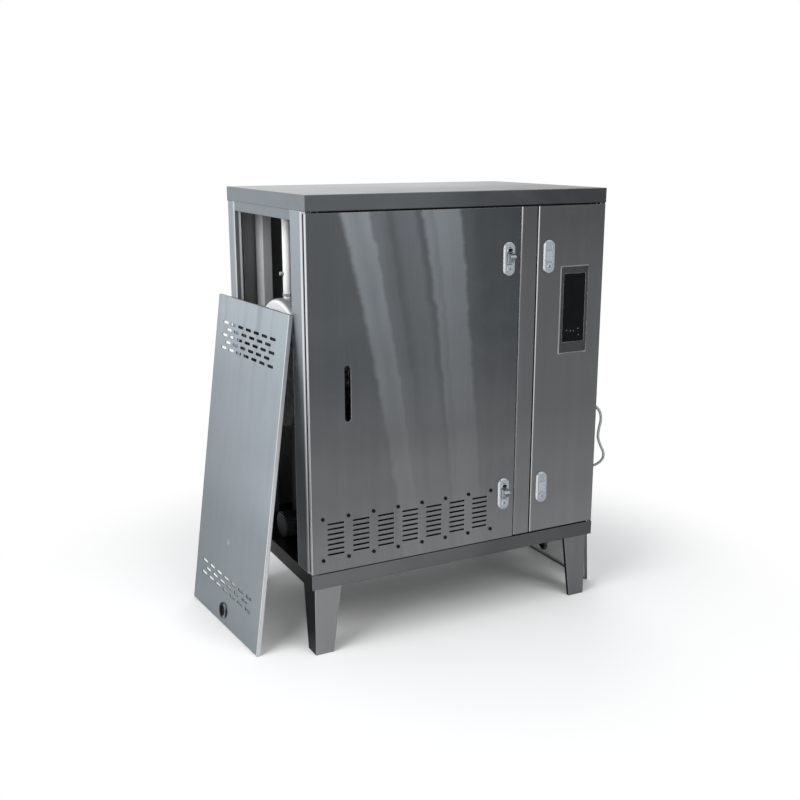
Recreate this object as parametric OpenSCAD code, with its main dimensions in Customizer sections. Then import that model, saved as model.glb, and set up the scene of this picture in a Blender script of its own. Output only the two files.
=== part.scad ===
// Electric steam boiler: a folded stainless cabinet on four tapered legs, with two hinged doors.
// Both side panels are taken off and lean on the cabinet, so its inside is open to view.
// Modules draw in cabinet places: X right along the front, Y back from the door faces, Z up.

/* [Cabinet] */
// Width of the cabinet
cabinet_w = 1000; // [860:1:1300]
// Depth of the cabinet, from door face to back
cabinet_d = 640; // [580:1:800]
// Height of the top of the lid above the floor
cabinet_h = 1340; // [1300:1:1600]
// Thickness of the folded sheet
sheet_t = 2; // [1:0.5:3]
// Height of the lid's skirt
lid_h = 44; // [30:1:60]
// Width of the lip turned in under the lid
lid_lip_w = 30; // [24:1:45]
// Height of the base tray's skirt
base_h = 44; // [30:1:60]

/* [Legs] */
// Clear height under the base tray
leg_h = 214; // [150:1:260]
// Width of each leg flange where it meets the tray
leg_top_w = 86; // [70:1:110]
// Width of each leg flange at the floor
leg_foot_w = 57; // [40:1:68]
// How far the legs stand in from the tray's faces
leg_inset = 13; // [6:1:25]
// Thickness of the leg's sheet
leg_t = 3; // [2:0.5:5]
// Width of the stiffening lip along each flange's slanted edge
leg_lip_w = 12; // [6:1:20]

/* [Frame posts and rails] */
// How far the posts stand back from the door faces
post_setback = 21; // [20:1:30]
// Width of a front post's side face
post_side_w = 85; // [70:1:110]
// Width of a back post's side face
back_post_side_w = 68; // [50:1:90]
// Width of a post's front or back face
post_face_w = 45; // [35:1:70]
// Width of the lip turned in at the side opening
post_lip_w = 20; // [10:1:30]
// Outside radius of a post's bend
post_bend_r = 8; // [4:1:12]
// Height of the rails over the side openings
top_rail_h = 28; // [20:1:50]
// Depth of the rails' turned-in flange
top_rail_flange_w = 30; // [15:1:40]
// Height of the rail over the doors
front_rail_h = 40; // [25:1:60]
// Width of the strip between the doors
mullion_w = 55; // [40:1:80]
// Depth of the channel behind that strip
mullion_d = 60; // [40:1:90]

/* [Doors] */
// Width of the control door
control_door_w = 246; // [200:1:300]
// Depth of the doors' folded edge
door_t = 12; // [11:1:14]
// Gap round the doors
door_gap = 5; // [4:0.5:6]
// Gap under the main door
main_sill_gap = 3; // [2:0.5:5]
// How far the doors' outer edges stand in from the cabinet's sides
door_edge_inset = 2; // [1:0.5:4]
// Hinge pin diameter
hinge_pin_d = 6; // [4:0.5:7]
// Hinge axis, in from the door's outer edge and back from its face
hinge_inset = 6; // [5:0.5:7]

/* [Main door vents and sight slot] */
// Columns of vent slits
vent_columns = 7; // [3:1:7]
// Rows of vent slits
vent_rows = 7; // [3:1:9]
// Length of a slit
vent_l = 54; // [40:1:70]
// Height of a slit
vent_h = 5.2; // [4.4:0.2:7]
// Last slit's end, in from the door's free edge
vent_free_gap = 96; // [70:1:130]
// Spacing of the rows
vent_row_pitch = 15.5; // [12:0.5:18]
// First slit's start, in from the door's hinged edge
vent_inset = 49; // [40:1:70]
// Lowest slit's middle, above the door's lower edge
vent_rise = 54; // [40:1:80]
// Width of the sight slot
sight_w = 19; // [14:1:26]
// Length of the sight slot
sight_l = 162; // [120:1:220]
// Sight slot's middle, in from the door's hinged edge
sight_inset = 118.5; // [90:0.5:160]
// Sight slot's middle, below the drum's axis
sight_drop = 37; // [0:1:80]

/* [Locks] */
// Width of a lock's face plate
lock_w = 37; // [34:1:44]
// Length of a lock's face plate
lock_l = 99; // [95:1:120]
// How far the face plate stands proud of the door
lock_t = 8; // [5:0.5:10]
// Lock's middle, in from the door's free edge
lock_inset = 39; // [32:1:50]
// Upper lock's middle, below the door's top edge
upper_lock_drop = 151; // [100:1:250]
// Lower lock's middle, above the tray
lower_lock_rise = 151; // [100:1:200]
// Width of the swinging lever
lever_w = 20; // [14:1:22]
// Reach of the lever from its pivot
lever_r = 32; // [26:1:36]
// Angle that the lever springs out by
lever_swing = 45; // [30:1:50]
// Diameter of the push button
lock_button_d = 14; // [10:1:16]

/* [Display] */
// Width of the display's frame
bezel_w = 102; // [90:1:120]
// Height of the display's frame
bezel_h = 268; // [230:1:300]
// Thickness of the display's frame
bezel_t = 3; // [2:0.5:5]
// Width of the display's glass
glass_w = 81; // [60:1:86]
// Height of the display's glass
glass_h = 212; // [160:1:222]
// Display frame's middle, in from the control door's free edge
display_inset = 139; // [110:1:150]
// Display frame's middle, below the control door's top edge
display_drop = 319; // [250:1:400]
// Glass's middle above the frame's middle
glass_lift = 6; // [0:0.5:8]

/* [Side panels] */
// Lap of a side panel over each post beside its opening
panel_lap = 19; // [10:1:30]
// Room over a side panel when it is hung in its opening
panel_fit = 23; // [10:1:40]
// Depth of a side panel's folded edge
panel_t = 11; // [8:1:16]
// Lean of the left panel
left_lean = 7.65; // [4:0.05:10]
// Turn of the left panel, its back edge further out
left_turn = 4.5; // [0:0.5:8]
// Left panel's lower front corner, back from the door faces
left_panel_y = 87; // [80:1:90]
// Lean of the right panel
right_lean = 3.25; // [2:0.05:6]
// Right panel's front edge, back from the door faces
right_panel_y = 95; // [85:1:100]
// Slots in a long row of a panel's vents
panel_slots = 7; // [3:1:7]
// Length of a panel slot
panel_slot_l = 38; // [25:1:45]
// Height of a panel slot
panel_slot_h = 8.5; // [5:0.5:11]
// Plain width of a panel beside its vents, both sides together
panel_vent_side_gap = 124; // [90:1:150]
// Spacing of the rows
panel_row_pitch = 20; // [14:1:24]
// Rows in the upper vent
panel_upper_rows = 5; // [1:1:7]
// Rows in the lower vent
panel_lower_rows = 3; // [1:1:4]
// Upper vent's middle, below the panel's top edge
panel_upper_drop = 122; // [80:1:160]
// Lower vent's middle, above the panel's lower edge
panel_lower_rise = 128; // [110:1:160]
// Shift of the vents and the grommet back from the panel's middle
panel_vent_shift = 10; // [0:1:20]
// Outside diameter of the cable grommet
grommet_d = 51; // [46:1:56]
// Hole of the cable grommet
grommet_hole_d = 33; // [20:1:36]
// Cable grommet's middle, above the panel's lower edge
grommet_rise = 42; // [34:1:50]

/* [Boiler drum] */
// Outside diameter of the jacketed drum
drum_d = 392; // [340:1:400]
// Room between the drum's right end and the partition
drum_right_gap = 95.5; // [70:0.5:140]
// Wall of the drum's shell with its jacket
drum_wall = 12; // [6:1:30]
// Drum's shell, in from the cabinet's left face
drum_x = 60; // [55:1:80]
// Drum's axis, forward of the middle of the cabinet's depth
drum_forward = 2; // [-15:1:25]
// Drum's axis, as a share of the way from the tray up to the lid
drum_height_share = 0.546; // [0.5:0.002:0.56]
// Thickness of the drum's ends
drum_end_t = 24; // [15:1:30]
// Thickness of a saddle plate
saddle_t = 8; // [5:1:12]
// Width of the saddle plates
saddle_w = 310; // [300:1:340]
// Width of a saddle's legs
saddle_leg_w = 40; // [25:1:45]
// Room over the pump in the window between a saddle's legs
saddle_clearance = 5; // [3:1:20]

/* [Pipes and gauge] */
// Outside diameter of the steam pipe
steam_pipe_d = 27; // [22:1:34]
// Bore of the steam pipe
steam_bore_d = 21; // [15:1:21]
// Steam pipe, in from the cabinet's left face
steam_pipe_x = 72; // [68:1:73]
// Radius of the steam pipe's bend
steam_bend_r = 28; // [24:1:60]
// Union at the pipe's foot, outside diameter
union_d = 34; // [32:1:44]
// Height of the union
union_h = 7; // [5:1:20]
// Outside diameter of the gauge glass
gauge_d = 16; // [12:1:18]
// Gauge glass, back from the door faces
gauge_y = 78; // [70:1:85]
// Width of a gauge cock's body
cock_w = 26; // [22:1:32]
// Diameter of a gauge cock's pipe
cock_pipe_d = 16; // [12:1:20]
// Length of a gauge cock's handle
cock_handle_l = 60; // [40:1:90]
// Diameter of the cock on the drum's left end
end_cock_d = 16; // [12:1:18]
// Height of that cock
end_cock_h = 72; // [50:1:90]
// How far its body stands off the drum's end
end_cock_reach = 17; // [14:1:20]

/* [Feed pump] */
// Motor body diameter
motor_d = 66; // [56:1:72]
// Motor length
motor_l = 142; // [120:1:180]
// Height of a cooling fin
fin_h = 6; // [4:1:8]
// Thickness of a cooling fin
fin_t = 3; // [2:0.5:4]
// Count of cooling fins
fin_count = 20; // [12:1:24]
// Motor's fan end, in from the cabinet's left face
motor_x = 36; // [36:1:60]
// Motor's axis, back from the door faces
motor_y = 331; // [315:1:345]
// Pump casing diameter
pump_d = 82; // [72:1:100]
// Pump casing length
pump_l = 50; // [40:1:70]
// Feed pipe diameter
feed_pipe_d = 22; // [16:1:27]

/* [Control gear] */
// Mounting plate, back from the door faces
plate_y = 430; // [400:1:500]
// Room over the mounting plate
plate_head_gap = 138; // [100:1:180]
// Contactors in the row
contactor_count = 4; // [2:1:4]
// Width of a contactor
contactor_w = 46; // [30:1:48]
// Diameter of the hanging cable
cable_d = 9; // [7:0.5:9]

/* [Hidden] */
// Overrun of a cut past the face that it opens
overrun = 1;
// Clearance of pieces that seat or turn against each other
seat_gap = 0.3;
base_bottom = leg_h;
base_top = leg_h + base_h;
lid_bottom = cabinet_h - lid_h;
door_top = lid_bottom - door_gap;
main_door_z = base_top + main_sill_gap;
control_door_z = base_top + door_gap;
control_door_x = cabinet_w - door_edge_inset - control_door_w;
mullion_x = control_door_x - door_gap - mullion_w;
main_door_w = mullion_x - door_gap - door_edge_inset;
vent_column_pitch = (main_door_w - vent_inset - vent_free_gap - vent_l) / (vent_columns - 1);
main_door_h = door_top - main_door_z;
control_door_h = door_top - control_door_z;
post_h = lid_bottom - base_top;
front_rail_z = lid_bottom - front_rail_h;
top_rail_z = lid_bottom - top_rail_h;
back_rim = cabinet_d - panel_t;
hinge_tab_w = 18;
hinge_pin_l = 12;
lock_lever_depth = 3;
lock_pivot_drop = 13;
lock_pivot_pin_d = 4;
lock_button_rise = 28;
lock_button_recess = 7;
lock_groove = 1;
lock_bevel = 1.5;
lock_clearance = 0.8;
lock_wall = 3;
lock_pocket_d = lever_r * sin(lever_swing) + lock_lever_depth + lock_clearance;
lock_body_d = lock_pocket_d - lock_t + lock_wall;
lock_body_w = lever_w + 2 * lock_clearance + 2 * lock_wall;
lock_body_l = lever_r + lock_lever_depth + 2 * lock_clearance + 2 * lock_wall;
lock_body_mid = (lever_r - lock_lever_depth) / 2 - lock_pivot_drop;
lock_cam_w = 16;
lock_cam_l = 45;
lock_cam_t = 3;
upper_lock_z = door_top - upper_lock_drop;
lower_lock_z = base_top + lower_lock_rise;
main_lock_x = mullion_x - door_gap - lock_inset;
control_lock_x = control_door_x + lock_inset;
lever_front_angle = lever_swing + asin(lock_lever_depth / lever_r);
lever_reach = lock_t - lock_lever_depth + lever_r * sin(lever_front_angle);
panel_w = cabinet_d - post_setback - post_side_w - back_post_side_w + 2 * panel_lap;
panel_h = lid_bottom - base_top - panel_fit;
panel_vent_inset = panel_w / 2 + panel_vent_shift;
panel_slot_pitch = (panel_w - panel_vent_side_gap - panel_slot_l) / (panel_slots - 1);
left_panel_x = -seat_gap - panel_h * sin(left_lean) * cos(left_turn);
left_reach = -left_panel_x + panel_w * sin(left_turn) + panel_t * cos(left_lean) * cos(left_turn);
right_panel_x = cabinet_w + seat_gap + panel_h * sin(right_lean);
right_reach = right_panel_x + panel_t * cos(right_lean);
frame_x = (right_reach - left_reach) / 2;
frame_y = (cabinet_d - lever_reach) / 2;
grommet_lip = 4;
grommet_groove_d = grommet_d - 2 * grommet_lip;
grommet_lip_t = 3;
partition_x = mullion_x + mullion_w / 2;
inner_post_x = 87;
inner_post_w = 29;
inner_post_d = 66;
drum_r = drum_d / 2;
drum_y = cabinet_d / 2 - drum_forward;
drum_z = base_top + drum_height_share * (lid_bottom - base_top);
drum_l = partition_x - drum_right_gap - drum_end_t - drum_x;
drum_end_r = drum_r - seat_gap;
drum_end_edge_r = 14;
saddle_inset = 70;
saddle_foot_w = 50;
drum_crown = drum_z + drum_r;
steam_head_room = 6;
steam_bend_z = lid_bottom - sheet_t - steam_head_room - steam_pipe_d / 2;
union_collar_t = 8;
stub_d = 11;
stub_l = 10;
stub_rise = 75;
gauge_x = door_edge_inset + sight_inset;
sight_z = drum_z - sight_drop;
gauge_top = sight_z + sight_l / 2;
gauge_bottom = sight_z - sight_l / 2;
cock_h = 30;
cock_sides = 8;
cock_handle_d = 9;
end_cock_nut_d = 24;
end_cock_nut_h = 14;
end_cock_side_share = 0.55;
end_cock_y = drum_y - drum_r * end_cock_side_share;
end_cock_height_share = 0.38;
end_cock_z = drum_z + drum_r * end_cock_height_share;
cock_seat = 4;
motor_r = motor_d / 2;
motor_foot_w = 26;
pump_rise = 3;
motor_z = base_top + pump_rise + pump_d / 2;
motor_cowl_l = 24;
cowl_slots = 9;
cowl_slot_share = 0.45;
cowl_slot_depth = 5;
motor_cowl_r = motor_r + fin_h + sheet_t;
saddle_window_h = motor_z - base_top + motor_cowl_r + saddle_clearance;
motor_foot_share = 0.8;
pump_foot_w = 60;
plate_right_gap = 30;
plate_h = lid_bottom - base_top - plate_head_gap;
plate_flange_w = 25;
contactor_h = 85;
contactor_d = 80;
contactor_step_d = 25;
contactor_step_h = 45;
contactor_rise = 562;
contactor_z = base_top + contactor_rise;
contactor_pitch = (cabinet_w - plate_right_gap - partition_x) / (contactor_count + 1);
terminal_w = 70;
terminal_h = 44;
terminal_d = 64;
terminal_x = cabinet_w - plate_right_gap - terminal_w;
terminal_rises = [172, 382];
cable_sides = 10;
cable_lead = 36;
// Points of the cable's loop, from the right face, the door faces and the tray
cable_loop = [
    [-25, 250, 392], [0, 170, 397], [10, 115, 394], [14, 92, 390], [30, 60, 382], [46, 42, 360], [50, 38, 332],
    [44, 38, 302], [42, 38, 272], [54, 38, 242], [68, 40, 217], [72, 46, 194], [60, 60, 172], [36, 80, 160],
    [16, 100, 158], [8, 125, 160], [0, 170, 162], [-25, 250, 166]
];
cable_ends = [for (rise = terminal_rises)
    [terminal_x + terminal_w / 2, plate_y - terminal_d, base_top + rise]];
cable_leads = [for (end = cable_ends) end - [0, cable_lead, 0]];
cable_route = concat(
    [cable_ends[1], cable_leads[1]],
    [for (point = cable_loop) point + [cabinet_w, 0, base_top]],
    [cable_leads[0], cable_ends[0]]
);
$fn = 48;

// Moves from cabinet places to the part's frame, its origin under the middle of the whole part
module in_frame() {
    translate([-frame_x, -frame_y, 0]) children();
}

// Repeats on the other side of the cabinet
module other_side() {
    translate([cabinet_w, 0, 0]) mirror([1, 0, 0]) children();
}

// Repeats at the back of the cabinet
module other_end() {
    translate([0, cabinet_d, 0]) mirror([0, 1, 0]) children();
}

// Stands a flat outline up along the front: its X along the front, its Y up, its thickness back
module stand_up(thickness) {
    translate([0, thickness, 0]) rotate([90, 0, 0]) linear_extrude(thickness) children();
}

// Lays a flat outline's own X back along Y and its Y up, its thickness along X
module stand_sideways(thickness) {
    rotate([90, 0, 90]) linear_extrude(thickness) children();
}

// Folded tray with its skin at the front and its edges turned back
module pan(width, height, depth) {
    difference() {
        cube([width, depth, height]);
        translate([sheet_t, sheet_t, sheet_t])
            cube([width - 2 * sheet_t, depth, height - 2 * sheet_t]);
    }
}

// Oblong outline with round ends, its length along Y
module oblong(width, length) {
    for (end = [-1, 1]) translate([0, end * (length - width) / 2]) circle(d = width);
    square([width, length - width], center = true);
}

// Rectangle with one corner rounded at the origin
module one_round_corner(width, depth, radius) {
    translate([radius, 0]) square([width - radius, depth]);
    translate([0, radius]) square([width, depth - radius]);
    translate([radius, radius]) circle(radius);
}

// Cross section of a corner post: a rounded bend, a face, a side and a lip turned in at the side opening
module post_outline(side_w) {
    difference() {
        one_round_corner(post_face_w, side_w, post_bend_r);
        translate([sheet_t, sheet_t])
            one_round_corner(post_face_w, side_w, post_bend_r - sheet_t);
    }
    translate([0, side_w - sheet_t]) square([post_lip_w, sheet_t]);
}

module post(side_w) {
    translate([0, 0, base_top]) linear_extrude(post_h) post_outline(side_w);
}

// Tabs and pins on a front post that carry a door
module hinge_tabs(sill_gap) {
    pin_x = door_edge_inset + hinge_inset;
    sill_tab_t = sill_gap - seat_gap;
    head_tab_t = door_gap - seat_gap;
    tab_d = post_setback + sheet_t - sheet_t / 2;
    translate([door_edge_inset, sheet_t / 2, base_top]) cube([hinge_tab_w, tab_d, sill_tab_t]);
    translate([pin_x, hinge_inset, base_top]) cylinder(d = hinge_pin_d, h = hinge_pin_l);
    translate([door_edge_inset, sheet_t / 2, lid_bottom - head_tab_t]) cube([hinge_tab_w, tab_d, head_tab_t]);
    translate([pin_x, hinge_inset, lid_bottom - hinge_pin_l]) cylinder(d = hinge_pin_d, h = hinge_pin_l);
}

// Bores in a door's lower and upper edge for its hinge pins
module hinge_bores(door_z, door_h) {
    for (z = [door_z - overrun, door_z + door_h - sheet_t - overrun])
        translate([door_edge_inset + hinge_inset, hinge_inset, z])
            cylinder(d = hinge_pin_d + 2 * seat_gap, h = sheet_t + 2 * overrun);
}

module lid() {
    color("gainsboro") in_frame() translate([0, 0, lid_bottom]) difference() {
        cube([cabinet_w, cabinet_d, lid_h]);
        translate([sheet_t, sheet_t, sheet_t])
            cube([cabinet_w - 2 * sheet_t, cabinet_d - 2 * sheet_t, lid_h - 2 * sheet_t]);
        translate([lid_lip_w, lid_lip_w, -overrun])
            cube([cabinet_w - 2 * lid_lip_w, cabinet_d - 2 * lid_lip_w, sheet_t + 2 * overrun]);
    }
}

module front_top_rail() {
    rail_l = cabinet_w - 2 * post_face_w;
    color("darkgray") in_frame() translate([post_face_w, post_setback, front_rail_z]) {
        cube([rail_l, sheet_t, front_rail_h]);
        cube([rail_l, top_rail_flange_w, sheet_t]);
    }
}

module side_rail() {
    rail_l = cabinet_d - post_setback - post_side_w - back_post_side_w;
    translate([0, post_setback + post_side_w, top_rail_z]) {
        cube([sheet_t, rail_l, top_rail_h]);
        cube([top_rail_flange_w, rail_l, sheet_t]);
    }
}

module left_top_rail() {
    color("lightslategray") in_frame() side_rail();
}

module right_top_rail() {
    color("lightslategray") in_frame() other_side() side_rail();
}

module front_left_post() {
    color("lightslategray") in_frame() {
        translate([0, post_setback, 0]) post(post_side_w);
        hinge_tabs(main_sill_gap);
    }
}

module front_right_post() {
    color("lightslategray") in_frame() other_side() {
        translate([0, post_setback, 0]) post(post_side_w);
        hinge_tabs(door_gap);
    }
}

module back_left_post() {
    color("lightslategray") in_frame() other_end() post(back_post_side_w);
}

module back_right_post() {
    color("lightslategray") in_frame() other_side() other_end() post(back_post_side_w);
}

// Channel between the doors: its face lines up with theirs, its back stands on the tray
module mullion() {
    face_h = door_top - control_door_z;
    color("dimgray") in_frame() difference() {
        union() {
            translate([mullion_x, 0, control_door_z]) cube([mullion_w, post_setback, face_h]);
            translate([mullion_x, 0, base_top]) difference() {
                cube([mullion_w, mullion_d, front_rail_z - base_top]);
                translate([-overrun, -overrun, -overrun])
                    cube([mullion_w + 2 * overrun, post_setback + overrun, door_gap + overrun]);
            }
        }
        translate([mullion_x + sheet_t, sheet_t, base_top - overrun])
            cube([mullion_w - 2 * sheet_t, mullion_d, door_top - base_top + 2 * overrun]);
    }
}

module rear_inner_post() {
    color("gray") in_frame() translate([inner_post_x, back_rim - inner_post_d, base_top]) difference() {
        cube([inner_post_w, inner_post_d, lid_bottom - base_top]);
        translate([sheet_t, sheet_t, -overrun])
            cube([inner_post_w, inner_post_d - 2 * sheet_t, lid_bottom - base_top + 2 * overrun]);
    }
}

module base_tray() {
    color("dimgray") in_frame() translate([0, 0, base_bottom]) difference() {
        cube([cabinet_w, cabinet_d, base_h]);
        translate([sheet_t, sheet_t, -overrun])
            cube([cabinet_w - 2 * sheet_t, cabinet_d - 2 * sheet_t, base_h - sheet_t + overrun]);
    }
}

// Outline of a leg flange, straight at the outer corner and slanted inside
module leg_flange_outline() {
    top = base_top - sheet_t;
    polygon([[0, 0], [leg_foot_w, 0], [leg_top_w, leg_h], [leg_top_w, top], [0, top]]);
}

// Outline of the lip along a flange's slanted edge
module leg_lip_outline() {
    polygon([[leg_foot_w - leg_t, 0], [leg_foot_w, 0], [leg_top_w, leg_h], [leg_top_w - leg_t, leg_h]]);
}

module leg() {
    translate([leg_inset, leg_inset, 0]) {
        stand_up(leg_t) leg_flange_outline();
        stand_up(leg_lip_w) leg_lip_outline();
        stand_sideways(leg_t) leg_flange_outline();
        stand_sideways(leg_lip_w) leg_lip_outline();
    }
}

module front_left_leg() {
    color("gray") in_frame() leg();
}

module front_right_leg() {
    color("gray") in_frame() other_side() leg();
}

module back_left_leg() {
    color("gray") in_frame() other_end() leg();
}

module back_right_leg() {
    color("gray") in_frame() other_side() other_end() leg();
}

module back_panel() {
    color("slategray") in_frame() difference() {
        translate([post_face_w, cabinet_d, base_top]) mirror([0, 1, 0])
            pan(cabinet_w - 2 * post_face_w, lid_bottom - base_top, panel_t);
        translate([steam_pipe_x, cabinet_d + overrun, steam_bend_z]) rotate([90, 0, 0])
            cylinder(d = steam_pipe_d + 2 * seat_gap, h = sheet_t + 2 * overrun);
    }
}

// Staggered rows of slots cut through a side panel's skin, every other row one slot short
module panel_vent(rows, middle_z) {
    for (row = [0 : rows - 1]) {
        slots = panel_slots - row % 2;
        row_z = middle_z + (row - (rows - 1) / 2) * panel_row_pitch;
        for (slot = [0 : slots - 1])
            translate([panel_vent_inset + (slot - (slots - 1) / 2) * panel_slot_pitch, -overrun, row_z])
                stand_up(sheet_t + 2 * overrun) rotate(90) oblong(panel_slot_h, panel_slot_l);
    }
}

// Side panel laid out along X from its front edge, its skin facing -Y
module side_panel() {
    difference() {
        pan(panel_w, panel_h, panel_t);
        panel_vent(panel_upper_rows, panel_h - panel_upper_drop);
        panel_vent(panel_lower_rows, panel_lower_rise);
        translate([panel_vent_inset, -overrun, grommet_rise])
            stand_up(sheet_t + 2 * overrun) circle(d = grommet_groove_d + 2 * seat_gap);
    }
}

// Ring pressed into the panel's cable hole, with a lip on each side of the skin
module grommet() {
    lip_gap = sheet_t + 2 * seat_gap;
    translate([panel_vent_inset, -grommet_lip_t - seat_gap, grommet_rise]) rotate([-90, 0, 0]) difference() {
        union() {
            cylinder(d = grommet_d, h = grommet_lip_t);
            cylinder(d = grommet_groove_d, h = lip_gap + 2 * grommet_lip_t);
            translate([0, 0, grommet_lip_t + lip_gap]) cylinder(d = grommet_d, h = grommet_lip_t);
        }
        translate([0, 0, -overrun]) cylinder(d = grommet_hole_d, h = lip_gap + 2 * grommet_lip_t + 2 * overrun);
    }
}

// Stands a side panel on its lower inner edge beside the cabinet, its skin outwards, and leans it inwards
module lean_left() {
    translate([left_panel_x, left_panel_y, 0]) rotate([0, 0, left_turn]) rotate([0, left_lean, 0])
        translate([-panel_t, 0, 0]) mirror([1, -1, 0]) children();
}

module lean_right() {
    translate([right_panel_x, right_panel_y, 0]) rotate([0, -right_lean, 0])
        translate([panel_t, 0, 0]) rotate([0, 0, 90]) children();
}

module left_side_panel() {
    color("lightsteelblue") in_frame() lean_left() side_panel();
}

module left_grommet() {
    color("black") in_frame() lean_left() grommet();
}

module right_side_panel() {
    color("lightsteelblue") in_frame() lean_right() side_panel();
}

module right_grommet() {
    color("black") in_frame() lean_right() grommet();
}

module partition() {
    color("slategray") in_frame() translate([partition_x - sheet_t / 2, mullion_d, base_top])
        cube([sheet_t, back_rim - mullion_d, top_rail_z - base_top]);
}

// Turns what is drawn along Z to lie along X, on the drum's axis
module on_drum_axis(from_x) {
    translate([from_x, drum_y, drum_z]) rotate([0, 90, 0]) children();
}

module drum_shell() {
    color("silver") in_frame() on_drum_axis(drum_x) difference() {
        cylinder(r = drum_r, h = drum_l, $fn = 96);
        translate([0, 0, -overrun]) cylinder(r = drum_r - drum_wall, h = drum_l + 2 * overrun, $fn = 96);
    }
}

// Flat end of the drum with a rounded rim, its outside towards -Z
module drum_end() {
    rotate_extrude($fn = 96) intersection() {
        square([drum_end_r, drum_end_t]);
        union() {
            square([drum_end_r - drum_end_edge_r, drum_end_t]);
            translate([0, drum_end_edge_r]) square([drum_end_r, drum_end_t]);
            translate([drum_end_r - drum_end_edge_r, drum_end_edge_r]) circle(drum_end_edge_r);
        }
    }
}

module drum_left_end() {
    color("white") in_frame() on_drum_axis(drum_x - drum_end_t) drum_end();
}

module drum_right_end() {
    color("white") in_frame() on_drum_axis(drum_x + drum_l + drum_end_t) mirror([0, 0, 1]) drum_end();
}

// Two portal plates with feet that carry the drum and leave room for the pump between their legs
module drum_saddles() {
    saddle_h = drum_z - base_top;
    cut_l = saddle_foot_w + 2 * overrun;
    color("dimgray") in_frame() for (x = [drum_x + saddle_inset, drum_x + drum_l - saddle_inset - saddle_t])
        difference() {
            translate([x, drum_y - saddle_w / 2, base_top]) {
                cube([saddle_t, saddle_w, saddle_h]);
                cube([saddle_foot_w, saddle_w, saddle_t]);
            }
            translate([x - overrun, drum_y - saddle_w / 2 + saddle_leg_w, base_top - overrun])
                cube([cut_l, saddle_w - 2 * saddle_leg_w, saddle_window_h + overrun]);
            on_drum_axis(x - overrun) cylinder(r = drum_r + seat_gap, h = cut_l, $fn = 96);
        }
}

// Pipe from the drum's crown up, round a bend and back through the rear panel
module steam_pipe() {
    rise = steam_bend_z - steam_bend_r - drum_crown - seat_gap;
    run = cabinet_d - drum_y - steam_bend_r;
    color("white") in_frame() translate([steam_pipe_x, drum_y, drum_crown + seat_gap]) difference() {
        union() {
            cylinder(d = steam_pipe_d, h = rise);
            translate([0, steam_bend_r, rise]) rotate([90, 0, -90]) rotate_extrude(angle = 90)
                translate([steam_bend_r, 0]) circle(d = steam_pipe_d);
            translate([0, steam_bend_r, rise + steam_bend_r]) rotate([-90, 0, 0])
                cylinder(d = steam_pipe_d, h = run);
        }
        translate([0, steam_bend_r, rise + steam_bend_r]) rotate([-90, 0, 0])
            cylinder(d = steam_bore_d, h = run + overrun);
    }
}

// Ring nut round the pipe's foot, with a test stub higher up
module pipe_union() {
    color("whitesmoke") in_frame() translate([steam_pipe_x, drum_y, 0]) {
        translate([0, 0, drum_crown + union_collar_t]) difference() {
            cylinder(d = union_d, h = union_h, $fn = 8);
            translate([0, 0, -overrun]) cylinder(d = steam_pipe_d + 2 * seat_gap, h = union_h + 2 * overrun);
        }
        translate([-steam_pipe_d / 2 - seat_gap, 0, drum_crown + stub_rise]) rotate([0, -90, 0])
            cylinder(d = stub_d, h = stub_l);
    }
}

module gauge_glass() {
    color("lightcyan") in_frame() translate([gauge_x, gauge_y, gauge_bottom])
        cylinder(d = gauge_d, h = gauge_top - gauge_bottom);
}

// Gauge cock on the drum's front: a body round the glass, a pipe to the shell and a handle
module gauge_cock(glass_end, upwards) {
    body_z = upwards ? glass_end - cock_seat : glass_end + cock_seat - cock_h;
    seat_z = upwards ? -overrun : cock_h - cock_seat;
    difference() {
        translate([gauge_x, gauge_y, body_z]) {
            rotate(180 / cock_sides) cylinder(d = cock_w, h = cock_h, $fn = cock_sides);
            translate([0, 0, cock_h / 2]) rotate([-90, 0, 0]) cylinder(d = cock_pipe_d, h = drum_y - gauge_y);
            translate([0, 0, cock_h / 2]) rotate([0, -90, 0]) cylinder(d = cock_handle_d, h = cock_handle_l);
        }
        translate([gauge_x, gauge_y, body_z + seat_z])
            cylinder(d = gauge_d + 2 * seat_gap, h = cock_seat + overrun);
        on_drum_axis(drum_x) cylinder(r = drum_r + seat_gap, h = drum_l, $fn = 96);
    }
}

// Cock on the drum's left end: a boss, an upright body and a nut at each end of it
module end_cock() {
    color("silver") in_frame() translate([drum_x - drum_end_t, end_cock_y, end_cock_z]) {
        rotate([0, -90, 0]) cylinder(d = end_cock_d, h = end_cock_reach);
        translate([-end_cock_reach, 0, -end_cock_h / 2]) cylinder(d = end_cock_d, h = end_cock_h);
        for (z = [-end_cock_h / 2, end_cock_h / 2 - end_cock_nut_h]) translate([-end_cock_reach, 0, z])
            cylinder(d = end_cock_nut_d, h = end_cock_nut_h, $fn = 6);
    }
}

module gauge_cocks() {
    color("silver") in_frame() {
        gauge_cock(gauge_top, true);
        gauge_cock(gauge_bottom, false);
    }
}

// Cross section of the motor: a round body with cooling fins
module motor_outline() {
    circle(motor_r);
    for (fin = [0 : fin_count - 1]) rotate(fin * 360 / fin_count)
        translate([-fin_t / 2, 0]) square([fin_t, motor_r + fin_h]);
}

// Fan cowl at the motor's free end, with level slots across its face
module motor_cowl() {
    pitch = 2 * motor_cowl_r / cowl_slots;
    slot_h = pitch * cowl_slot_share;
    difference() {
        rotate([0, 90, 0]) cylinder(r = motor_cowl_r, h = motor_cowl_l);
        for (slot = [0 : cowl_slots - 1])
            translate([-overrun, -motor_cowl_r, (slot + 1 / 2) * pitch - motor_cowl_r - slot_h / 2])
                cube([cowl_slot_depth + overrun, 2 * motor_cowl_r, slot_h]);
    }
}

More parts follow.
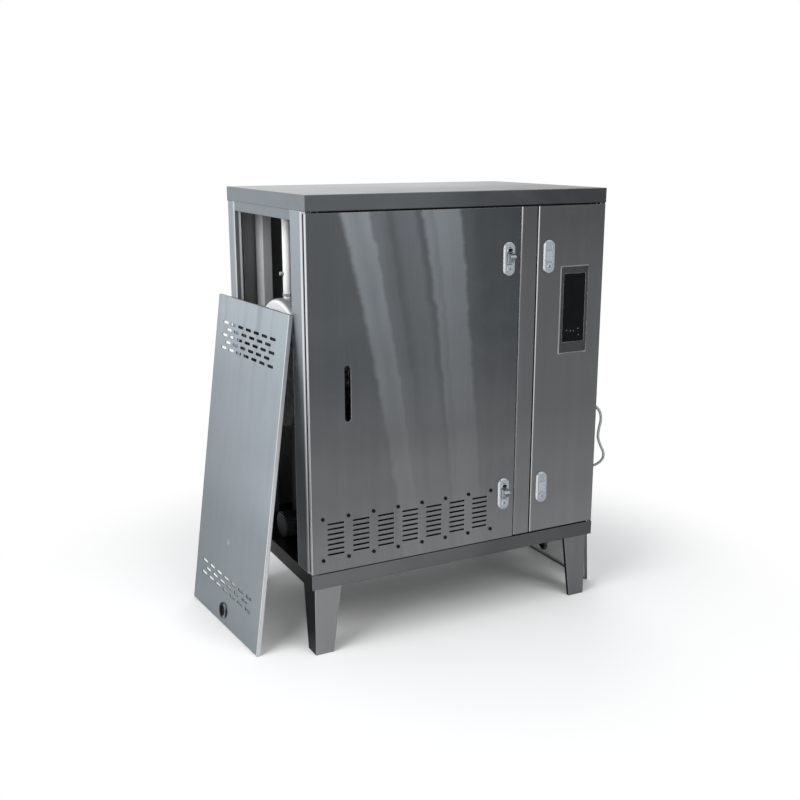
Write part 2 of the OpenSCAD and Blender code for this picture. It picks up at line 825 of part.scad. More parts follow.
module pump_motor() {
    color("steelblue") in_frame() translate([motor_x, motor_y, motor_z]) {
        translate([motor_cowl_l / 2, 0, 0]) rotate([90, 0, 90])
            linear_extrude(motor_l - motor_cowl_l / 2) motor_outline();
        motor_cowl();
        for (side = [-1, 1])
            translate([motor_l / 2, side * motor_r * motor_foot_share - motor_foot_w / 2, base_top - motor_z])
                cube([motor_l / 4, motor_foot_w, motor_r]);
    }
}

module pump_casing() {
    color("slategray") in_frame() translate([motor_x + motor_l, motor_y, motor_z]) {
        rotate([0, 90, 0]) cylinder(d = pump_d, h = pump_l);
        translate([0, -pump_foot_w / 2, base_top - motor_z]) cube([pump_l, pump_foot_w, motor_z - base_top]);
    }
}

module feed_pipe() {
    foot_z = motor_z + pump_d / 2 + seat_gap;
    color("silver") in_frame() difference() {
        translate([motor_x + motor_l + pump_l / 2, motor_y, foot_z])
            cylinder(d = feed_pipe_d, h = drum_z - foot_z);
        on_drum_axis(drum_x) cylinder(r = drum_r + seat_gap, h = drum_l, $fn = 96);
    }
}

module mounting_plate() {
    plate_w = cabinet_w - plate_right_gap - partition_x - sheet_t / 2;
    color("lightgray") in_frame() translate([partition_x + sheet_t / 2, plate_y, base_top]) {
        cube([plate_w, sheet_t, plate_h]);
        cube([plate_w, plate_flange_w, sheet_t]);
        cube([sheet_t, plate_flange_w, plate_h]);
    }
}

module contactors() {
    body_d = contactor_d - contactor_step_d;
    step_z = (contactor_h - contactor_step_h) / 2;
    color("dimgray") in_frame() for (unit = [1 : contactor_count])
        translate([partition_x + unit * contactor_pitch - contactor_w / 2, plate_y, contactor_z]) {
            translate([0, -body_d, 0]) cube([contactor_w, body_d, contactor_h]);
            translate([0, -contactor_d, step_z]) cube([contactor_w, contactor_d, contactor_step_h]);
        }
}

module terminal_blocks() {
    color("darkgreen") in_frame() for (rise = terminal_rises)
        translate([terminal_x, plate_y - terminal_d, base_top + rise - terminal_h / 2])
            cube([terminal_w, terminal_d, terminal_h]);
}

function unit_of(v) = v / norm(v);

// Direction of the route at point i
function heading(route, i) =
    unit_of(route[min(i + 1, len(route) - 1)] - route[max(i - 1, 0)]);

// Ring of points round the route at point i, square to it
function ring(route, i, radius, sides) =
    let (along = heading(route, i), across = unit_of(cross([0, 0, 1], along)), over = cross(along, across))
    [for (k = [0 : sides - 1], turn = 360 * k / sides)
        route[i] + radius * (cos(turn) * across + sin(turn) * over)];

// Round tube swept along a route
module swept_tube(route, diameter, sides) {
    points = [for (i = [0 : len(route) - 1]) each ring(route, i, diameter / 2, sides)];
    walls = [for (i = [0 : len(route) - 2]) for (k = [0 : sides - 1])
        [i * sides + k, (i + 1) * sides + k, (i + 1) * sides + (k + 1) % sides, i * sides + (k + 1) % sides]];
    foot = [for (k = [0 : sides - 1]) k];
    head = [for (k = [sides - 1 : -1 : 0]) (len(route) - 1) * sides + k];
    polyhedron(points, concat(walls, [foot], [head]));
}

module hanging_cable() {
    color("lightgray") in_frame() swept_tube(cable_route, cable_d, cable_sides);
}

// Places a lock, or its lever, on a door face
module at_lock(x, z) {
    translate([x, 0, z]) children();
}

// Window in a door's skin for a lock's body
module lock_window(x, z) {
    at_lock(x, z) translate([0, -overrun, lock_body_mid]) stand_up(sheet_t + 2 * overrun)
        square([lock_body_w + 2 * seat_gap, lock_body_l + 2 * seat_gap], center = true);
}

// Oblong plate with a bevelled rim, its back on Y = 0
module lock_plate() {
    straight = lock_l - lock_w;
    bevelled_w = lock_w - 2 * lock_bevel;
    rotate([90, 0, 0]) {
        linear_extrude(lock_t - lock_bevel) oblong(lock_w, lock_l);
        for (end = [-1, 1]) translate([0, end * straight / 2, lock_t - lock_bevel])
            cylinder(d1 = lock_w, d2 = bevelled_w, h = lock_bevel);
    }
    translate([0, 0, -straight / 2]) linear_extrude(straight) polygon([
        [-lock_w / 2, lock_bevel - lock_t], [-bevelled_w / 2, -lock_t],
        [bevelled_w / 2, -lock_t], [lock_w / 2, lock_bevel - lock_t]
    ]);
}

// Lock: face plate, body behind the door, lever pocket with its pivot pin, button and cam
module lock(button_in) {
    pocket_w = lever_w + 2 * lock_clearance;
    pocket_z = -lock_pivot_drop - lock_lever_depth - lock_clearance;
    pocket_h = lever_r + lock_lever_depth + 2 * lock_clearance;
    groove_d = lock_button_d + 2 * lock_groove;
    difference() {
        union() {
            lock_plate();
            translate([-lock_body_w / 2, -sheet_t / 2, lock_body_mid - lock_body_l / 2])
                cube([lock_body_w, lock_body_d + sheet_t / 2, lock_body_l]);
        }
        translate([-pocket_w / 2, -lock_t - overrun, pocket_z])
            cube([pocket_w, lock_pocket_d + overrun, pocket_h]);
        translate([0, -lock_t - overrun, lock_button_rise]) rotate([-90, 0, 0])
            if (button_in) cylinder(d = lock_button_d, h = lock_button_recess + overrun);
            else difference() {
                cylinder(d = groove_d, h = lock_groove + overrun);
                cylinder(d = lock_button_d, h = lock_groove + overrun);
            }
    }
    translate([-pocket_w / 2 - overrun, lock_lever_depth - lock_t, -lock_pivot_drop]) rotate([0, 90, 0])
        cylinder(d = lock_pivot_pin_d, h = pocket_w + 2 * overrun);
    translate([-lock_cam_w / 2, lock_body_d, -lock_cam_l]) cube([lock_cam_w, lock_cam_t, lock_cam_l]);
}

// Lever: a sector about its pivot, with its face turned out by the given angle
module lever(turned_out) {
    side = 2 * lever_r;
    translate([-lever_w / 2, lock_lever_depth - lock_t, -lock_pivot_drop]) rotate([turned_out, 0, 0])
        difference() {
            union() {
                intersection() {
                    rotate([0, 90, 0]) cylinder(r = lever_r, h = lever_w, $fn = 96);
                    translate([0, -lock_lever_depth, 0]) cube([lever_w, side, side]);
                    rotate([-lever_swing, 0, 0]) translate([0, -side, 0]) cube([lever_w, side, side]);
                }
                rotate([0, 90, 0]) cylinder(r = lock_lever_depth, h = lever_w);
            }
            translate([-overrun, 0, 0]) rotate([0, 90, 0])
                cylinder(d = lock_pivot_pin_d + 2 * seat_gap, h = lever_w + 2 * overrun);
        }
}

module main_door() {
    color("gray") in_frame() difference() {
        translate([door_edge_inset, 0, main_door_z]) pan(main_door_w, main_door_h, door_t);
        hinge_bores(main_door_z, main_door_h);
        for (z = [lower_lock_z, upper_lock_z]) lock_window(main_lock_x, z);
        translate([gauge_x, -overrun, sight_z])
            stand_up(sheet_t + 2 * overrun) oblong(sight_w, sight_l);
        for (column = [0 : vent_columns - 1], row = [0 : vent_rows - 1])
            translate([door_edge_inset + vent_inset + column * vent_column_pitch + vent_l / 2, -overrun,
                main_door_z + vent_rise + row * vent_row_pitch])
                stand_up(sheet_t + 2 * overrun) rotate(90) oblong(vent_h, vent_l);
    }
}

module main_locks() {
    color("silver") in_frame() for (z = [lower_lock_z, upper_lock_z]) at_lock(main_lock_x, z) lock(true);
}

module main_upper_lever() {
    color("silver") in_frame() at_lock(main_lock_x, upper_lock_z) lever(lever_swing);
}

module main_lower_lever() {
    color("silver") in_frame() at_lock(main_lock_x, lower_lock_z) lever(lever_swing);
}

module control_door() {
    color("gray") in_frame() difference() {
        translate([control_door_x, 0, control_door_z]) pan(control_door_w, control_door_h, door_t);
        other_side() hinge_bores(control_door_z, control_door_h);
        for (z = [lower_lock_z, upper_lock_z]) lock_window(control_lock_x, z);
    }
}

module control_locks() {
    color("silver") in_frame() for (z = [lower_lock_z, upper_lock_z]) at_lock(control_lock_x, z) lock(false);
}

module control_upper_lever() {
    color("silver") in_frame() at_lock(control_lock_x, upper_lock_z) lever(0);
}

module control_lower_lever() {
    color("silver") in_frame() at_lock(control_lock_x, lower_lock_z) lever(0);
}

// Places a piece of the display on the control door's face
module at_display() {
    translate([control_door_x + display_inset, 0, door_top - display_drop]) children();
}

module display_bezel() {
    color("darkgray") in_frame() at_display() translate([0, -bezel_t, 0]) stand_up(bezel_t) difference() {
        square([bezel_w, bezel_h], center = true);
        translate([0, glass_lift]) square([glass_w + 2 * seat_gap, glass_h + 2 * seat_gap], center = true);
    }
}

module display_glass() {
    glass_t = bezel_t - seat_gap;
    color("black") in_frame() at_display() translate([0, -glass_t, glass_lift]) stand_up(glass_t)
        square([glass_w, glass_h], center = true);
}

lid();
front_top_rail();
left_top_rail();
right_top_rail();
front_left_post();
front_right_post();
back_left_post();
back_right_post();
mullion();
rear_inner_post();
base_tray();
front_left_leg();
front_right_leg();
back_left_leg();
back_right_leg();
back_panel();
left_side_panel();
left_grommet();
right_side_panel();
right_grommet();
partition();
drum_shell();
drum_left_end();
drum_right_end();
drum_saddles();
steam_pipe();
pipe_union();
gauge_glass();
gauge_cocks();
end_cock();
pump_motor();
pump_casing();
feed_pipe();
mounting_plate();
contactors();
terminal_blocks();
hanging_cable();
main_door();
main_locks();
main_upper_lever();
main_lower_lever();
control_door();
control_locks();
control_upper_lever();
control_lower_lever();
display_bezel();
display_glass();
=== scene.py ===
import math

import bpy
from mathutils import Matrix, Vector, geometry


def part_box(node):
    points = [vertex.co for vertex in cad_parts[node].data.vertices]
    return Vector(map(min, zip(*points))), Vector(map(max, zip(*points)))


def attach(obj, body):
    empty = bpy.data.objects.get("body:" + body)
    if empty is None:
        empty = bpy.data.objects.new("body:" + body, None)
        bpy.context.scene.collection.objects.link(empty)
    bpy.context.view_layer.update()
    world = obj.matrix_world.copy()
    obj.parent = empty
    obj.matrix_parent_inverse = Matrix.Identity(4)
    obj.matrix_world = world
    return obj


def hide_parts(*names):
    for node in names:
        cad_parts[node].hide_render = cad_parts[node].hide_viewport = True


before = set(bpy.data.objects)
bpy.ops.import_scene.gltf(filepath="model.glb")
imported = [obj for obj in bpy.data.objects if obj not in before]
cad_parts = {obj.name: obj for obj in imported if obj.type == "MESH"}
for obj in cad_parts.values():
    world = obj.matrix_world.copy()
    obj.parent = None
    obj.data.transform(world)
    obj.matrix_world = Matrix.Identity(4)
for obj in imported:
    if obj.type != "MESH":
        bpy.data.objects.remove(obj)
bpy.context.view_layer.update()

# Cabinet places are millimetres from the cabinet's left face, its door faces and the floor.
CABINET_WIDTH = 1000.0
DOOR_SIDE_GAP = 2.0
TRAY_TOP = 258.0
door_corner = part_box("main_door")[0]
CABINET_ORIGIN = (DOOR_SIDE_GAP - door_corner.x * 1000, -door_corner.y * 1000)

X, Y, Z = range(3)
TINY = 1e-5
SQUARE_TURN = math.pi / 2


def at(x, y, z):
    """A cabinet place in millimetres as a point of the frame in metres."""
    return Vector((mm(x - CABINET_ORIGIN[0]), mm(y - CABINET_ORIGIN[1]), mm(z)))


def mm(length):
    return length / 1000


# Camera

SENSOR_WIDTH = 36.0
LENS_LENGTH = 46.98
NEAREST_SEEN = 0.05
FARTHEST_SEEN = 100.0
CAMERA_PLACE = (-1066.8, -2602.6, 1474.8)
CAMERA_TILT = 76.14
CAMERA_TURN = -27.46


def set_up_camera():
    lens = bpy.data.cameras.new("photo_camera")
    lens.sensor_width = SENSOR_WIDTH
    lens.lens = LENS_LENGTH
    lens.clip_start = NEAREST_SEEN
    lens.clip_end = FARTHEST_SEEN
    camera = bpy.data.objects.new("photo_camera", lens)
    bpy.context.scene.collection.objects.link(camera)
    camera.location = at(*CAMERA_PLACE)
    camera.rotation_euler = (math.radians(CAMERA_TILT), 0.0, math.radians(CAMERA_TURN))
    bpy.context.scene.camera = camera


# Shared shading

DISPLAY_GAMMA = 2.2
SHEET_GAIN = 0.86
NEUTRAL = (0.98, 1.0, 1.025)
COOL = (0.885, 1.0, 1.09)
SLATE = (0.925, 1.0, 1.08)

# How close the brushed lines lie along each axis, to a metre
UPRIGHT_LINES = (900.0, 900.0, 7.0)
LEVEL_LINES = (7.0, 900.0, 900.0)

# The sides a face can look to: axis and sign of its normal, and how square to it a face has to be
SIDES = {
    "Left": (X, -1), "Right": (X, 1),
    "Forward": (Y, -1), "Backward": (Y, 1),
    "Downwards": (Z, -1), "Upwards": (Z, 1),
}
FACING_FROM = 0.55
FACING_FULL = 0.9

NUMBER = "NodeSocketFloat"
VECTOR = "NodeSocketVector"


def new_group(name, inputs, outputs):
    """A shader node group with named sockets; returns the tree and its two end nodes."""
    tree = bpy.data.node_groups.new(name, "ShaderNodeTree")
    for label, kind, value in inputs:
        socket = tree.interface.new_socket(label, in_out="INPUT", socket_type=kind)
        socket.default_value = value
    for label, kind in outputs:
        tree.interface.new_socket(label, in_out="OUTPUT", socket_type=kind)
    return tree, tree.nodes.new("NodeGroupInput"), tree.nodes.new("NodeGroupOutput")


def wire(tree, made, **inputs):
    """Sets a node's inputs to values or links them to sockets.

    An input goes by its label with underscores, or by its number as i0, i1 and so on.
    """
    for key, value in inputs.items():
        numbered = key[0] == "i" and key[1:].isdigit()
        socket = made.inputs[int(key[1:]) if numbered else key.replace("_", " ")]
        if isinstance(value, bpy.types.NodeSocket):
            tree.links.new(value, socket)
        else:
            socket.default_value = value


def node(tree, kind, settings=None, **inputs):
    """A node with its settings and its inputs."""
    made = tree.nodes.new(kind)
    for key, value in (settings or {}).items():
        setattr(made, key, value)
    wire(tree, made, **inputs)
    return made


def place_group(tree, name, **inputs):
    """Places one of the shared node groups, and returns its outputs."""
    return node(tree, "ShaderNodeGroup", {"node_tree": bpy.data.node_groups[name]}, **inputs).outputs


def math_node(tree, operation, first, second=0.0, third=0.0, clamp=False):
    settings = {"operation": operation, "use_clamp": clamp}
    return node(tree, "ShaderNodeMath", settings, i0=first, i1=second, i2=third).outputs[0]


def times(tree, first, second, clamp=False):
    return math_node(tree, "MULTIPLY", first, second, clamp=clamp)


def times_add(tree, first, second, added):
    return math_node(tree, "MULTIPLY_ADD", first, second, added)


def minus(tree, first, second):
    return math_node(tree, "SUBTRACT", first, second)


def larger(tree, first, second):
    return math_node(tree, "MAXIMUM", first, second)


def vector_node(tree, operation, *vectors):
    """A vector worked out from others; a length or a distance comes out as a number."""
    inputs = {f"i{count}": vector for count, vector in enumerate(vectors)}
    made = node(tree, "ShaderNodeVectorMath", {"operation": operation}, **inputs)
    return made.outputs["Value" if operation in ("LENGTH", "DISTANCE") else "Vector"]


def parts(tree, vector):
    return node(tree, "ShaderNodeSeparateXYZ", i0=vector).outputs


def blend_colour(tree, share, first, second, kind="MIX"):
    settings = {"data_type": "RGBA", "blend_type": kind, "clamp_result": True}
    return node(tree, "ShaderNodeMix", settings, i0=share, i6=first, i7=second).outputs[2]


def ramp(tree, value, stops, easing="EASE"):
    """A ramp of grey or coloured stops along a value."""
    made = tree.nodes.new("ShaderNodeValToRGB")
    made.color_ramp.interpolation = easing
    spots = made.color_ramp.elements
    while len(spots) < len(stops):
        spots.new(0.5)
    for spot, (place, shade) in zip(spots, stops):
        spot.position = place
        spot.color = (shade, shade, shade, 1.0) if isinstance(shade, float) else (*shade, 1.0)
    wire(tree, made, i0=value)
    return made.outputs[0]


def span(tree, value, low, high, start=0.0, end=1.0, easing="LINEAR"):
    """A value carried over from one range to another, and held at its ends."""
    settings = {"interpolation_type": easing}
    made = node(tree, "ShaderNodeMapRange", settings, i0=value, i1=low, i2=high, i3=start, i4=end)
    return made.outputs[0]


def object_place(tree):
    return node(tree, "ShaderNodeTexCoord").outputs["Object"]


def object_normal(tree):
    return node(tree, "ShaderNodeTexCoord").outputs["Normal"]


def stretched(tree, stretch):
    """The place on the piece, with each axis stretched."""
    return vector_node(tree, "MULTIPLY", object_place(tree), stretch)


def along(tree, axis, low, high):
    """How far a point of the piece lies from low to high along an axis, in metres of the frame."""
    return span(tree, parts(tree, object_place(tree))[axis], low, high)


def over(tree, node_name, axis):
    """How far a point lies along an axis of a node's box, from 0 to 1."""
    low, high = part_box(node_name)
    return along(tree, axis, low[axis], high[axis])


def noise(tree, place, size, detail, roughness, **more):
    """Soft noise with a number of lumps to a metre."""
    inputs = {"Vector": place, "Scale": size, "Detail": detail, "Roughness": roughness, **more}
    return node(tree, "ShaderNodeTexNoise", **inputs).outputs[0]


def bumped(tree, strength, depth, height, **base):
    """Fine bumps of a depth in metres, over the round of the edges where that is given."""
    return node(tree, "ShaderNodeBump", Strength=strength, Distance=depth, Height=height, **base).outputs[0]


def grey(shade, tint=NEUTRAL):
    return tuple(min(1.0, shade * part) for part in tint) + (1.0,)


def steel(level, tint=NEUTRAL):
    """The colour of brushed sheet that shows at a display level from 0 to 255."""
    return grey((level / 255) ** DISPLAY_GAMMA / SHEET_GAIN, tint)


def levels(tree, value, stops, tint=NEUTRAL):
    """Brushed sheet whose display level runs through stops along a value."""
    return ramp(tree, value, [(place, steel(level, tint)[:3]) for place, level in stops])


def build_grain():
    """Fine lines left by brushing the sheet, with softer tone shifts from strip to strip."""
    tree, start, end = new_group(
        "brushed_grain",
        [("Lines", VECTOR, UPRIGHT_LINES)],
        [("Grain", NUMBER), ("Strips", NUMBER)],
    )
    fine = vector_node(tree, "MULTIPLY", object_place(tree), start.outputs["Lines"])
    wire(
        tree, end,
        Grain=noise(tree, fine, size=1.0, detail=3.0, roughness=0.65),
        Strips=noise(tree, fine, size=0.035, detail=2.0, roughness=0.5),
    )


def build_fold_edges():
    """Where a sheet folds over: masks of all its edges, of the lit and of the shaded ones, and the round."""
    tree, start, end = new_group(
        "fold_edges",
        [("Radius", NUMBER, mm(1.5)), ("Gain", NUMBER, 4.0)],
        [("Edge", NUMBER), ("Lit", NUMBER), ("Shaded", NUMBER), ("Normal", VECTOR)],
    )
    rounded = node(tree, "ShaderNodeBevel", {"samples": 4}, Radius=start.outputs["Radius"]).outputs[0]
    settings = {"vector_type": "NORMAL", "convert_from": "WORLD", "convert_to": "OBJECT"}
    turned = node(tree, "ShaderNodeVectorTransform", settings, i0=rounded).outputs[0]
    lean = vector_node(tree, "SUBTRACT", turned, object_normal(tree))
    size = vector_node(tree, "LENGTH", lean)
    lean_parts = parts(tree, lean)
    aside = lean_parts[X]
    upwards = lean_parts[Z]
    lit = larger(tree, times(tree, aside, -1.0), times(tree, upwards, 0.3))
    shaded = larger(tree, aside, times(tree, upwards, -1.0))
    gain = start.outputs["Gain"]
    masks = {"Edge": times(tree, size, size), "Lit": lit, "Shaded": shaded}
    wire(tree, end, **{name: times(tree, mask, gain, clamp=True) for name, mask in masks.items()})
    wire(tree, end, Normal=rounded)


def build_handling():
    """Smudges from hands and cloths, and small specks."""
    tree, start, end = new_group(
        "handling_marks",
        [("Size", NUMBER, 5.0)],
        [("Smudge", NUMBER), ("Speck", NUMBER)],
    )
    place = object_place(tree)
    size = start.outputs["Size"]
    cloud = noise(tree, place, size=size, detail=5.0, roughness=0.6, Distortion=0.6)
    cells = node(tree, "ShaderNodeTexVoronoi", Vector=place, Scale=times(tree, size, 22.0), Randomness=1.0)
    wire(
        tree, end,
        Smudge=span(tree, cloud, 0.48, 0.72, easing="SMOOTHSTEP"),
        Speck=span(tree, cells.outputs["Distance"], 0.10, 0.05),
    )


def build_facing():
    """Which way a face of the piece looks, as it stands at rest."""
    tree, _, end = new_group("facing", [], [(side, NUMBER) for side in SIDES])
    normal = parts(tree, object_normal(tree))
    for side, (axis, sign) in SIDES.items():
        wire(tree, end, **{side: span(tree, normal[axis], FACING_FROM * sign, FACING_FULL * sign)})


# Finishes

SHEET_SPECULAR = (0.75, 0.75, 0.75, 1.0)


def new_material(name):
    """An empty material with its Principled shader; returns material, tree and shader."""
    material = bpy.data.materials.new(name)
    material.use_nodes = True
    tree = material.node_tree
    tree.nodes.clear()
    shader = tree.nodes.new("ShaderNodeBsdfPrincipled")
    node(tree, "ShaderNodeOutputMaterial", i0=shader.outputs[0])
    return material, tree, shader


def faced_colour(tree, colour, sides):
    """A sheet's colour, with painted light and shade: other colours or display levels on the faces that look
    to the named sides.
    """
    facing = place_group(tree, "facing")
    for side, shade in sides.items():
        if isinstance(shade, int):
            shade = steel(shade)
        colour = blend_colour(tree, facing[side], colour, shade)
    return colour


def finish_sheet(tree, shader, front, sides, rough=0.3, edge="Lit", edge_level=235, edge_radius=mm(2.2),
                 edge_share=0.8, shaded=0.0, lines=UPRIGHT_LINES, metallic=1.0):
    """Brushed grain and smudges over the colours of a sheet's faces, with painted highlights on the fold
    edges, or painted shade where their level is low, and painted shade lines along the shaded edges.
    """
    colour = faced_colour(tree, front, sides)
    grain = place_group(tree, "brushed_grain", Lines=lines)
    edges = place_group(tree, "fold_edges", Radius=edge_radius, Gain=2.2)
    smudge = place_group(tree, "handling_marks", Size=4.0)["Smudge"]
    fine = ramp(tree, grain["Grain"], [(0.25, 0.86), (0.75, 1.0)], "LINEAR")
    strips = ramp(tree, grain["Strips"], [(0.3, 0.95), (0.7, 1.0)], "LINEAR")
    toned = blend_colour(tree, 1.0, colour, fine, "MULTIPLY")
    toned = blend_colour(tree, 1.0, toned, strips, "MULTIPLY")
    toned = blend_colour(tree, times(tree, smudge, 0.06), toned, grey(0.30))
    # Painted shade along the edges that look down or right, then a painted highlight or painted shade along
    # the picked edges
    if shaded:
        toned = blend_colour(tree, times(tree, edges["Shaded"], shaded), toned, steel(30))
    toned = blend_colour(tree, times(tree, edges[edge], edge_share), toned, steel(edge_level))
    worn = span(tree, grain["Grain"], 0.2, 0.8, rough - 0.05, rough + 0.07)
    wire(
        tree, shader,
        Base_Color=toned,
        Roughness=times_add(tree, smudge, 0.06, worn),
        Normal=bumped(tree, strength=0.05, depth=mm(0.4), height=grain["Grain"], Normal=edges["Normal"]),
        Metallic=metallic,
        Specular_Tint=SHEET_SPECULAR,
        Anisotropic=0.35,
    )


def less_metallic_walls(tree, shader, walls, share):
    """Makes the walls that a mask picks less metallic, so that the painted light on them shows."""
    wire(tree, shader, Metallic=times_add(tree, walls, -share, 1.0))


def left_fold_highlight(tree, node_name, colour, width, level, share):
    """A painted highlight where the sheet rolls over its left edge."""
    edge_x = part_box(node_name)[0].x
    near = along(tree, X, edge_x + width, edge_x + width * 0.35)
    return blend_colour(tree, times(tree, near, share), colour, steel(level))


# Painted reflections: light bands across the main door, by place across it and strength
REFLECTION_BANDS = [
    (0.0, 0.28), (0.14, 0.31), (0.17, 1.0), (0.22, 0.9), (0.265, 1.0), (0.285, 0.62),
    (0.33, 0.52), (0.36, 0.36), (0.41, 0.52), (0.47, 0.56), (0.505, 0.34), (0.53, 0.85),
    (0.56, 0.74), (0.58, 0.87), (0.69, 0.78), (0.715, 0.24), (0.8, 0.1), (1.0, 0.05),
]
# The strength that leaves the sheet plain
PLAIN_BAND = 0.3
# How far the bands slant towards the door's foot, and how they spread
BAND_SLANT = 0.428
BAND_SPREAD = 0.34
# Long sway and short ripple of the bands: stretch of the noise, its roughness and its share
BAND_WAVES = [((9.0, 9.0, 1.1), 0.4, 0.05), ((5.0, 5.0, 26.0), 0.5, 0.03)]
# From the door's foot to its head: how strong the painted reflection bands are, and the plain sheet's level,
# which painted light makes lighter towards the foot
BAND_REACH = [(0.0, 0.03), (0.35, 0.06), (0.58, 0.15), (0.75, 0.2), (1.0, 0.27)]
DOOR_LEVELS = [(0.0, 0.445), (0.25, 0.4), (0.4, 0.365), (0.6, 0.335), (1.0, 0.345)]
DOOR_TINT = (0.97, 1.0, 1.03, 1.0)
UPPER_DOOR_TINT = (0.945, 1.0, 1.046, 1.0)


def main_door_steel():
    """The main door's sheet, with painted reflections in wavy light bands that slant across it and fade
    towards its foot, a painted highlight on its left fold, and painted light and shade on its other faces and
    in its vent slots.
    """
    material, tree, shader = new_material("main_door_steel")
    across = over(tree, "main_door", X)
    height = over(tree, "main_door", Z)
    slant = times_add(tree, across, BAND_SPREAD, -BAND_SLANT)
    place = times_add(tree, minus(tree, 1.0, height), slant, across)
    for stretch, roughness, share in BAND_WAVES:
        wave = noise(tree, stretched(tree, stretch), size=1.0, detail=2.0, roughness=roughness)
        place = times_add(tree, minus(tree, wave, 0.5), share, place)
    bands = minus(tree, ramp(tree, place, REFLECTION_BANDS), PLAIN_BAND)
    level = times_add(tree, bands, ramp(tree, height, BAND_REACH), ramp(tree, height, DOOR_LEVELS))
    shade = math_node(tree, "DIVIDE", math_node(tree, "POWER", level, DISPLAY_GAMMA), SHEET_GAIN)
    front = node(tree, "ShaderNodeCombineColor", i0=shade, i1=shade, i2=shade).outputs[0]
    front = blend_colour(tree, 1.0, front, DOOR_TINT, "MULTIPLY")
    front = blend_colour(tree, span(tree, height, 0.3, 0.65), front, UPPER_DOOR_TINT, "MULTIPLY")
    front = left_fold_highlight(tree, "main_door", front, width=mm(1.6), level=215, share=0.8)
    # Painted shade on the faces that look up, with a painted highlight along the door's top edge
    crown = blend_colour(tree, span(tree, height, 0.97, 0.99), steel(25), steel(160))
    sides = {"Backward": 120, "Left": 235, "Right": 70, "Upwards": crown, "Downwards": 40}
    finish_sheet(tree, shader, front, sides, rough=0.30, edge_level=190, shaded=0.6)
    return material


def control_door_steel(name, node_name, edge_fade, side_level=245, wall=0.0):
    """The control door's sheet and the strip beside it: an even dark grey, with painted light that makes it
    lighter low down, a painted highlight on the left fold and painted light and shade on the other faces.
    """
    material, tree, shader = new_material(name)
    height = over(tree, node_name, Z)
    front = levels(tree, height, [(0.0, 112), (0.15, 106), (0.45, 95), (0.75, 91), (1.0, 82)])
    fade = ramp(tree, height, edge_fade)
    front = left_fold_highlight(tree, node_name, front, width=mm(4.5), level=250, share=fade)
    sides = {"Backward": 120, "Left": side_level, "Right": 70, "Upwards": 160, "Downwards": 70}
    finish_sheet(tree, shader, front, sides, rough=0.31, edge_level=190, edge_share=0.4, shaded=0.6)
    if wall > 0.0:
        less_metallic_walls(tree, shader, place_group(tree, "facing")["Left"], wall)
    return material


def lid_steel():
    """The lid, with painted reflections and painted light: a dark front that deepens to the right, paler
    sides, a top that is bright at the back, and painted shade along the edges that look down or right.
    """
    material, tree, shader = new_material("lid_steel")
    across = over(tree, "lid", X)
    front = levels(tree, across, [(0.0, 92), (0.35, 92), (0.57, 75), (0.85, 66), (1.0, 67)], SLATE)
    near = levels(tree, across, [(0.0, 185), (0.35, 150), (0.6, 142), (1.0, 112)])
    far = levels(tree, across, [(0.0, 195), (0.55, 192), (1.0, 160)])
    top = blend_colour(tree, span(tree, over(tree, "lid", Y), 0.0, 0.85, easing="SMOOTHSTEP"), near, far)
    sides = {"Left": steel(146, COOL), "Right": steel(125, COOL), "Upwards": top, "Downwards": 60}
    finish_sheet(tree, shader, front, sides, rough=0.28, edge_level=190, edge_radius=mm(4.0), shaded=0.9,
                 lines=LEVEL_LINES)
    return material


def tray_steel():
    """The base tray, with painted light and shade: a dark front that darkens to the right, and darker sides.
    """
    material, tree, shader = new_material("tray_steel")
    across = over(tree, "base_tray", X)
    front = levels(tree, across, [(0.0, 102), (0.2, 102), (0.35, 96), (0.7, 80), (1.0, 78)])
    sides = {"Left": 36, "Right": 60, "Upwards": 70, "Downwards": 42}
    finish_sheet(tree, shader, front, sides, rough=0.33, edge_level=150, shaded=0.6, lines=LEVEL_LINES)
    return material


def front_post_steel():
    """Front posts, with painted light and shade: bright above the leaning panels, painted shadow behind them
    and behind the doors, and a painted highlight along the rounded bend.
    """
    material, tree, shader = new_material("front_post_steel")
    height = over(tree, "front_left_post", Z)
    stops = [(0.0, 88), (0.32, 112), (0.47, 152), (0.58, 160), (0.75, 165), (1.0, 178)]
    bend_back = at(0, 37, 0).y
    bend_front = at(0, 32, 0).y
    near_bend = along(tree, Y, bend_back, bend_front)
    # Painted highlight along the rounded bend, stronger high up
    fold = times(tree, near_bend, span(tree, height, 0.2, 0.7, 0.35, 0.9))
    side = blend_colour(tree, fold, levels(tree, height, stops, COOL), steel(245))
    sides = {"Left": side, "Right": side, "Forward": 35, "Upwards": 150, "Downwards": 60}
    finish_sheet(tree, shader, steel(70), sides, rough=0.32, edge="Edge", edge_level=240, edge_radius=mm(4.0))
    return material


def back_post_steel():
    """Back posts: pale outer sides with painted light that is brightest towards the front, and painted
    highlights on the lips towards the doors.
    """
    material, tree, shader = new_material("back_post_steel")
    depth = over(tree, "back_left_post", Y)
    side = levels(tree, depth, [(0.0, 205), (0.1, 200), (0.24, 152), (1.0, 148)], COOL)
    lip_from = mm(12)
    lip_to = mm(14)
    middle_x = at(CABINET_WIDTH / 2, 0, 0).x
    across = minus(tree, parts(tree, object_place(tree))[X], middle_x)
    inwards = minus(tree, mm(CABINET_WIDTH / 2), math_node(tree, "ABSOLUTE", across))
    lip = blend_colour(tree, span(tree, inwards, lip_from, lip_to), steel(120), steel(240))
    sides = {"Left": side, "Right": side, "Forward": lip, "Upwards": 150, "Downwards": 60}
    finish_sheet(tree, shader, steel(150), sides, rough=0.36, edge="Edge", edge_level=225, edge_share=0.4,
                 metallic=0.45)
    return material


